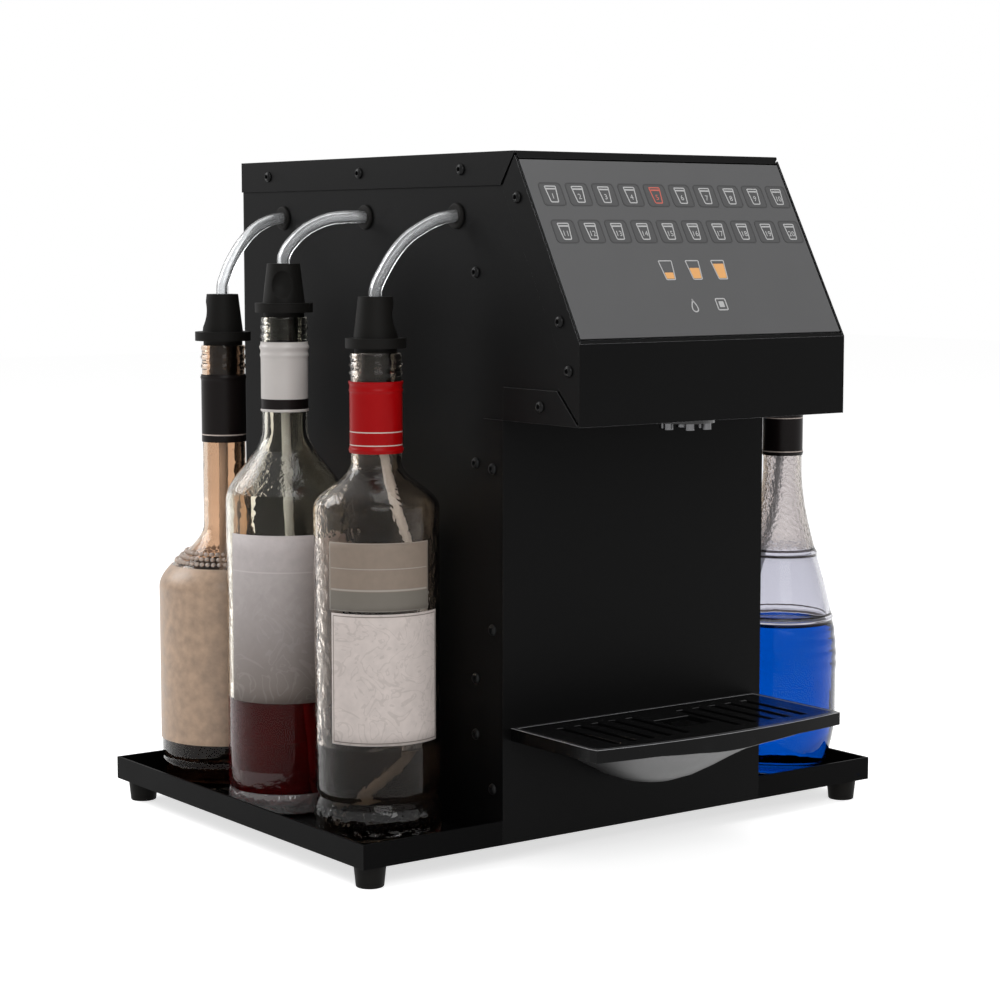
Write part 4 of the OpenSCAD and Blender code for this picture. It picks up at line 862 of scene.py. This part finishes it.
# piece: place, paper, low end, high end, direction of its middle, degrees that it spans
LABELS = {
    "label_left_front": ("left_front", white_paper, 63.6, 143.5, -113, 111),
    "label_left_front_upper": ("left_front", beige_paper, 145, 186.5, -121, 100),
    "label_left_middle": ("left_middle", lavender_paper, 73, 180.5, -108, 150),
    "label_right_middle": ("right_middle", white_paper, 63.6, 143.5, 0, 150),
    "label_right_rear": ("right_rear", lavender_paper, 73, 180.5, 20, 150),
}
for name, (place, material, low, high, middle, span) in LABELS.items():
    axis = (*PLACES[place][2], TRAY_FLOOR_Z)
    label = add_piece(name, label_mesh(name, FILLS[place][0], axis, low, high, middle, span), material,
                      None, f"{place}_bottle")
    paper = label.modifiers.new("paper", "SOLIDIFY")
    paper.thickness = LABEL_T * MM
    paper.offset = 1.0
print("labels:", len(LABELS))

# %% [markdown]
# ## The touch panel's print
# Behind the panel's film lie two rows of keys, each with the outline of a cup and its number, and
# three cups that show how much is poured. Under them stand a drop, for rinsing, and a square, for
# stop. The marks are thin plates on the slope, so they are drawn flat first and then laid on it.

# %% Drawing flat marks
SLOPE_LOW, SLOPE_HIGH = Vector((0, -182.5, 322.0)), Vector((0, -118.5, 434.0))
UP_SLOPE = (SLOPE_HIGH - SLOPE_LOW).normalized()
OUT_OF_SLOPE = Vector((1, 0, 0)).cross(UP_SLOPE)
INK_T, CUP_TAPER, CUP_ROUND = 0.12, 0.68, 1.2
CORNERS = ((-1, -1), (1, -1), (1, 1), (-1, 1))


def strip(mesh, points, width):
    """A closed line of a width, inside a polygon given anticlockwise."""
    count = len(points)
    inner = []
    for i, p in enumerate(points):
        before, after = points[i - 1], points[(i + 1) % count]
        a, b = (p - before).normalized(), (after - p).normalized()
        na, nb = Vector((-a.y, a.x)), Vector((-b.y, b.x))
        inner.append(p + width * (na + nb) / (1 + na.dot(nb)))
    ring = [[mesh.verts.new((*p, 0)) for p in line] for line in (points, inner)]
    for i in range(count):
        n = (i + 1) % count
        mesh.faces.new([ring[0][i], ring[0][n], ring[1][n], ring[1][i]])


def plate(mesh, points):
    """A filled polygon given anticlockwise."""
    mesh.faces.new([mesh.verts.new((*p, 0)) for p in points])


def round_corners(corners, radius, steps=5):
    """A polygon with rounded corners."""
    points = []
    for i, p in enumerate(corners):
        a, b = (corners[i - 1] - p).normalized(), (corners[(i + 1) % len(corners)] - p).normalized()
        for k in range(steps + 1):
            t = k / steps
            points.append(p + radius * ((1 - t) ** 2 * a + t ** 2 * b))
    return points


def box_points(w, h, radius, at=(0, 0)):
    """A rounded box round a middle."""
    return round_corners([Vector((at[0] + sx * w / 2, at[1] + sy * h / 2)) for sx, sy in CORNERS], radius)


def cup_points(w, h, low_share=CUP_TAPER, radius=CUP_ROUND, at=(0, 0)):
    """A cup seen from the side: narrower at its foot."""
    x, y = at
    corners = [Vector((x - w * low_share / 2, y - h / 2)), Vector((x + w * low_share / 2, y - h / 2)),
               Vector((x + w / 2, y + h / 2)), Vector((x - w / 2, y + h / 2))]
    return round_corners(corners, radius)


def flat_mesh(name, draw, thick=INK_T):
    """A flat drawing with a little thickness, in metres, its back at z = 0."""
    mesh = bmesh.new()
    draw(mesh)
    bmesh.ops.triangulate(mesh, faces=[f for f in mesh.faces if len(f.verts) > 4])
    made = bmesh.ops.extrude_face_region(mesh, geom=mesh.faces[:])
    top = [v for v in made["geom"] if isinstance(v, bmesh.types.BMVert)]
    bmesh.ops.translate(mesh, verts=top, vec=(0, 0, thick))
    bmesh.ops.recalc_face_normals(mesh, faces=mesh.faces)
    bmesh.ops.scale(mesh, verts=mesh.verts, vec=(MM, MM, MM))
    return made_mesh(mesh, name, smooth=False)


def on_slope(x, up):
    """A place on the touch panel's face, in metres: x across and up the slope."""
    return (SLOPE_LOW + Vector((x, 0, 0)) + up * UP_SLOPE) * MM

# %% Key frames and cups, copied to two rows
def print_ink(name, colour, roughness=0.4, drift=0.04):
    """Ink of the panel's print: a fine grain and little drift."""
    return finish(name, colour, roughness, grain=1500, depth=0.03, drift=drift)


KEY_W, KEY_H, KEY_ROUND, KEY_LINE, PLATE_ROUND = 17.0, 16.0, 3.0, 0.8, 2.4
KEY_PITCH, KEY_COUNT, KEY_FIRST_X, ROW_UP, LIT_KEY = 20.0, 10, -87.0, (99.5, 74.3), 4
CUP_W, CUP_H, CUP_LINE, LID_W, LID_H, LID_ROUND, LID_UP = 9.0, 11.5, 0.75, 7.6, 1.0, 0.3, 3.6
key_frame = print_ink("key_frame_print", grey(0.024), 0.3)
key_plate = print_ink("key_plate_print", grey(0.043), 0.34)
cup_print = print_ink("cup_print", (0.42, 0.42, 0.42))
lit_print = print_ink("lit_key_print", (0.5, 0.1, 0.07))
key_places = [(KEY_FIRST_X + KEY_PITCH * k, up) for up in ROW_UP for k in range(KEY_COUNT)]


def draw_key_frame(mesh):
    strip(mesh, box_points(KEY_W, KEY_H, KEY_ROUND), KEY_LINE)


def draw_key_plate(mesh):
    plate(mesh, box_points(KEY_W - 2 * KEY_LINE, KEY_H - 2 * KEY_LINE, PLATE_ROUND))


def draw_key_cup(mesh):
    strip(mesh, cup_points(CUP_W, CUP_H), CUP_LINE)
    plate(mesh, box_points(LID_W, LID_H, LID_ROUND, (0, LID_UP)))


def print_keys(name, draw, places, material, thick=INK_T):
    """A flat drawing copied to the places of some keys."""
    spots = [(on_slope(x, up), OUT_OF_SLOPE) for x, up in places]
    drawing = flat_mesh(f"{name}_drawing", draw, thick)
    place_copies(name, drawing, spots, material, "touch_glass", "machine")


print_keys("key_frames", draw_key_frame, key_places, key_frame)
print_keys("key_plates", draw_key_plate, key_places, key_plate, INK_T / 2)
print_keys("key_cups", draw_key_cup, key_places[:LIT_KEY] + key_places[LIT_KEY + 1:], cup_print)
print_keys("key_cup_lit", draw_key_cup, key_places[LIT_KEY:LIT_KEY + 1], lit_print)
print("keys:", len(key_places))

# %% Numbers of the keys
def number_mesh(text, size):
    """A number as a thin flat mesh in metres, centred."""
    curve = bpy.data.curves.new("number", "FONT")
    curve.body = text
    curve.size = size * MM
    curve.align_x, curve.align_y = "CENTER", "CENTER"
    curve.extrude = INK_T / 2 * MM
    curve.resolution_u = 3
    holder = put("number", curve)
    bpy.context.view_layer.update()
    mesh = plain_mesh(holder)
    bpy.data.objects.remove(holder)
    return mesh


NUMBER_SIZE, NUMBER_DROP = 5.2, 1.6
slope_turn = Matrix((Vector((1, 0, 0)), UP_SLOPE, OUT_OF_SLOPE)).transposed().to_4x4()
numbers = {cup_print: bmesh.new(), lit_print: bmesh.new()}
for k, (x, up) in enumerate(key_places):
    mesh = number_mesh(str(k + 1), NUMBER_SIZE)
    lift = OUT_OF_SLOPE * INK_T / 2 * MM
    mesh.transform(Matrix.Translation(on_slope(x, up - NUMBER_DROP) + lift) @ slope_turn)
    numbers[lit_print if k == LIT_KEY else cup_print].from_mesh(mesh)
for material, drawn in numbers.items():
    name = f"{material.name}_numbers"
    bmesh.ops.remove_doubles(drawn, verts=drawn.verts, dist=MERGE * MM)
    add_piece(name, made_mesh(drawn, name, smooth=False), material, "touch_glass", "machine")
print("numbers:", len(key_places))

# %% Dose cups and the two marks below them
dose_orange = print_ink("dose_print", (0.72, 0.36, 0.12), drift=0.05)
DOSE_X, DOSE_UP, DOSE_W, DOSE_H, DOSE_LINE, DOSE_GAP = (-19.2, 2.0, 22.4), 47.7, 11.0, 13.5, 0.7, 1.0
DOSE_FILL, DOSE_ROUND, DOSE_TAPER = (0.36, 0.62, 0.86), 0.5, 0.8
MARK_LINE, DROP_STEPS = 0.8, 32
DROP_X, DROP_UP, DROP_W, DROP_H, DROP_POINT = -8.5, 23.5, 3.6, 4.6, 1.4
STOP_X, STOP_UP, STOP_W, STOP_ROUND, STOP_DOT_W, STOP_DOT_ROUND = 13.5, 24.0, 8.4, 1.4, 4.0, 0.6


def draw_dose_outlines(mesh):
    for x in DOSE_X:
        strip(mesh, cup_points(DOSE_W, DOSE_H, at=(x, DOSE_UP)), DOSE_LINE)


def draw_dose_fills(mesh):
    for x, share in zip(DOSE_X, DOSE_FILL):
        height = (DOSE_H - 2 * DOSE_GAP) * share
        wide = DOSE_W * (CUP_TAPER + (1 - CUP_TAPER) * share) - 2 * DOSE_GAP
        middle = (x, DOSE_UP - DOSE_H / 2 + DOSE_GAP + height / 2)
        plate(mesh, cup_points(wide, height, CUP_TAPER * DOSE_W / wide * DOSE_TAPER, DOSE_ROUND, middle))


def draw_marks(mesh):
    turns = [2 * math.pi * k / DROP_STEPS for k in range(DROP_STEPS)]
    drop = [Vector((DROP_X + DROP_W * math.sin(a) * math.sin(a / 2) ** DROP_POINT,
                    DROP_UP + DROP_H * math.cos(a))) for a in turns]
    strip(mesh, drop[::-1], MARK_LINE)
    middle = (STOP_X, STOP_UP)
    strip(mesh, box_points(STOP_W, STOP_W, STOP_ROUND, middle), MARK_LINE)
    plate(mesh, box_points(STOP_DOT_W, STOP_DOT_W, STOP_DOT_ROUND, middle))


for name, draw, material in (("dose_cup_outlines", draw_dose_outlines, cup_print),
                             ("dose_cup_fills", draw_dose_fills, dose_orange),
                             ("rinse_and_stop_marks", draw_marks, cup_print)):
    mesh = flat_mesh(name, draw)
    mesh.transform(Matrix.Translation(SLOPE_LOW * MM) @ slope_turn)
    add_piece(name, mesh, material, "touch_glass", "machine")
print("dose cups:", len(DOSE_X))

# %% [markdown]
# ## Beads on the decanter
# The decanter wears a rope of glass beads round its shoulder. They are copies of one small ball on a
# ring of points, half sunk into the glass.

# %% Bead rope
BEAD_R, BEAD_PITCH, BEAD_ROWS, BEAD_SINK = 1.8, 4.0, (151.5, 154.5, 157.5), 0.3
bead = bmesh.new()
bmesh.ops.create_uvsphere(bead, u_segments=8, v_segments=5, radius=MM)
x, y = PLACES["left_rear"][2]
bead_spots = []
for row, z in enumerate(BEAD_ROWS):
    radius = glass_radius("decanter", z) - BEAD_SINK
    count = round(2 * math.pi * radius / BEAD_PITCH)
    for k in range(count):
        a = 2 * math.pi * (k + row / 2) / count
        way = Vector((math.cos(a), math.sin(a), 0))
        bead_spots.append(((Vector((x, y, TRAY_FLOOR_Z + z)) + radius * way) * MM, way))
bead_glass = glass("bead_glass", (0.8, 0.66, 0.56), ripple=0.1, scale=300.0, rough=0.2, shine=1.0,
                   clear=0.55)
place_copies("decanter_bead_rope", made_mesh(bead, "bead"), bead_spots, bead_glass, None,
             "left_rear_bottle", size=BEAD_R)
print("beads:", len(bead_spots))

# %% [markdown]
# ## Studio
# A pale floor, a pale world and three soft lamps. The floor and the world look white to the camera
# and in reflections, while the light that falls on the machine stays plain, so that the black stays
# black and the glass shows a white room.

# %% World, floor and lamps
def light_path_white(tree, lit, white):
    """White for the camera, reflections and glass; the lit shader for everything else."""
    path = add_node(tree, "LightPath")
    seen = path.outputs["Is Camera Ray"]
    for name in ("Is Glossy Ray", "Is Transmission Ray"):
        both = add_node(tree, "Math")
        both.operation = "MAXIMUM"
        tree.links.new(seen, both.inputs[0])
        tree.links.new(path.outputs[name], both.inputs[1])
        seen = both.outputs[0]
    mix = add_node(tree, "MixShader")
    tree.links.new(seen, mix.inputs["Fac"])
    tree.links.new(lit.outputs[0], mix.inputs[1])
    tree.links.new(white.outputs[0], mix.inputs[2])
    return mix.outputs[0]


AMBIENT, FLOOR_GLOW, FLOOR_HALF = 0.38, 0.68, 6.0
world = bpy.data.worlds.new("studio_world")
scene.world = world
world.use_nodes = True
sky = world.node_tree
ambient = set_sockets(sky.nodes["Background"], Color=(1, 1, 1, 1), Strength=AMBIENT)
bright = add_node(sky, "Background", Color=(1, 1, 1, 1), Strength=1.0)
sky.links.new(light_path_white(sky, ambient, bright), sky.nodes["World Output"].inputs["Surface"])

floor_mesh = bpy.data.meshes.new("studio_floor")
floor_mesh.from_pydata([(sx * FLOOR_HALF, sy * FLOOR_HALF, 0) for sx, sy in CORNERS], [], [(0, 1, 2, 3)])
floor = put("studio_floor", floor_mesh)
floor_paint = finish("floor_paint", (0.8, 0.8, 0.8), 0.7, depth=0, drift=0.01, gloss=0.0)
paint_tree = floor_paint.node_tree
plain = paint_tree.nodes["Principled BSDF"]
glow = add_node(paint_tree, "Emission", Strength=FLOOR_GLOW)
whiter = add_node(paint_tree, "AddShader")
paint_tree.links.new(plain.outputs[0], whiter.inputs[0])
paint_tree.links.new(glow.outputs[0], whiter.inputs[1])
paint_tree.links.new(light_path_white(paint_tree, plain, whiter),
                     paint_tree.nodes["Material Output"].inputs["Surface"])
floor_mesh.materials.append(floor_paint)

# lamp: place, point that it looks at, size, watts
LAMPS = {
    "key_lamp": ((-0.85, 1.1, 1.05), (0, 0, 0.3), 0.8, 12),
    "front_lamp": ((-0.9, -1.9, 1.5), (0, 0, 0.2), 1.3, 24),
    "top_lamp": ((0.4, -0.2, 2.2), (0, 0, 0.2), 1.6, 18),
}
for name, (place, aim, size, watts) in LAMPS.items():
    data = bpy.data.lights.new(name, "AREA")
    data.size = size
    data.energy = watts
    lamp = put(name, data)
    lamp.location = place
    lamp.rotation_euler = (Vector(aim) - Vector(place)).to_track_quat("-Z", "Y").to_euler()
print("lamps:", len(LAMPS))

# %% [markdown]
# ## View transform
# The view transform is the plain one, so a colour renders about as it is written. The dressed model
# has to stay inside the CAD model's box.

# %% Finish
scene.view_settings.view_transform = "Standard"
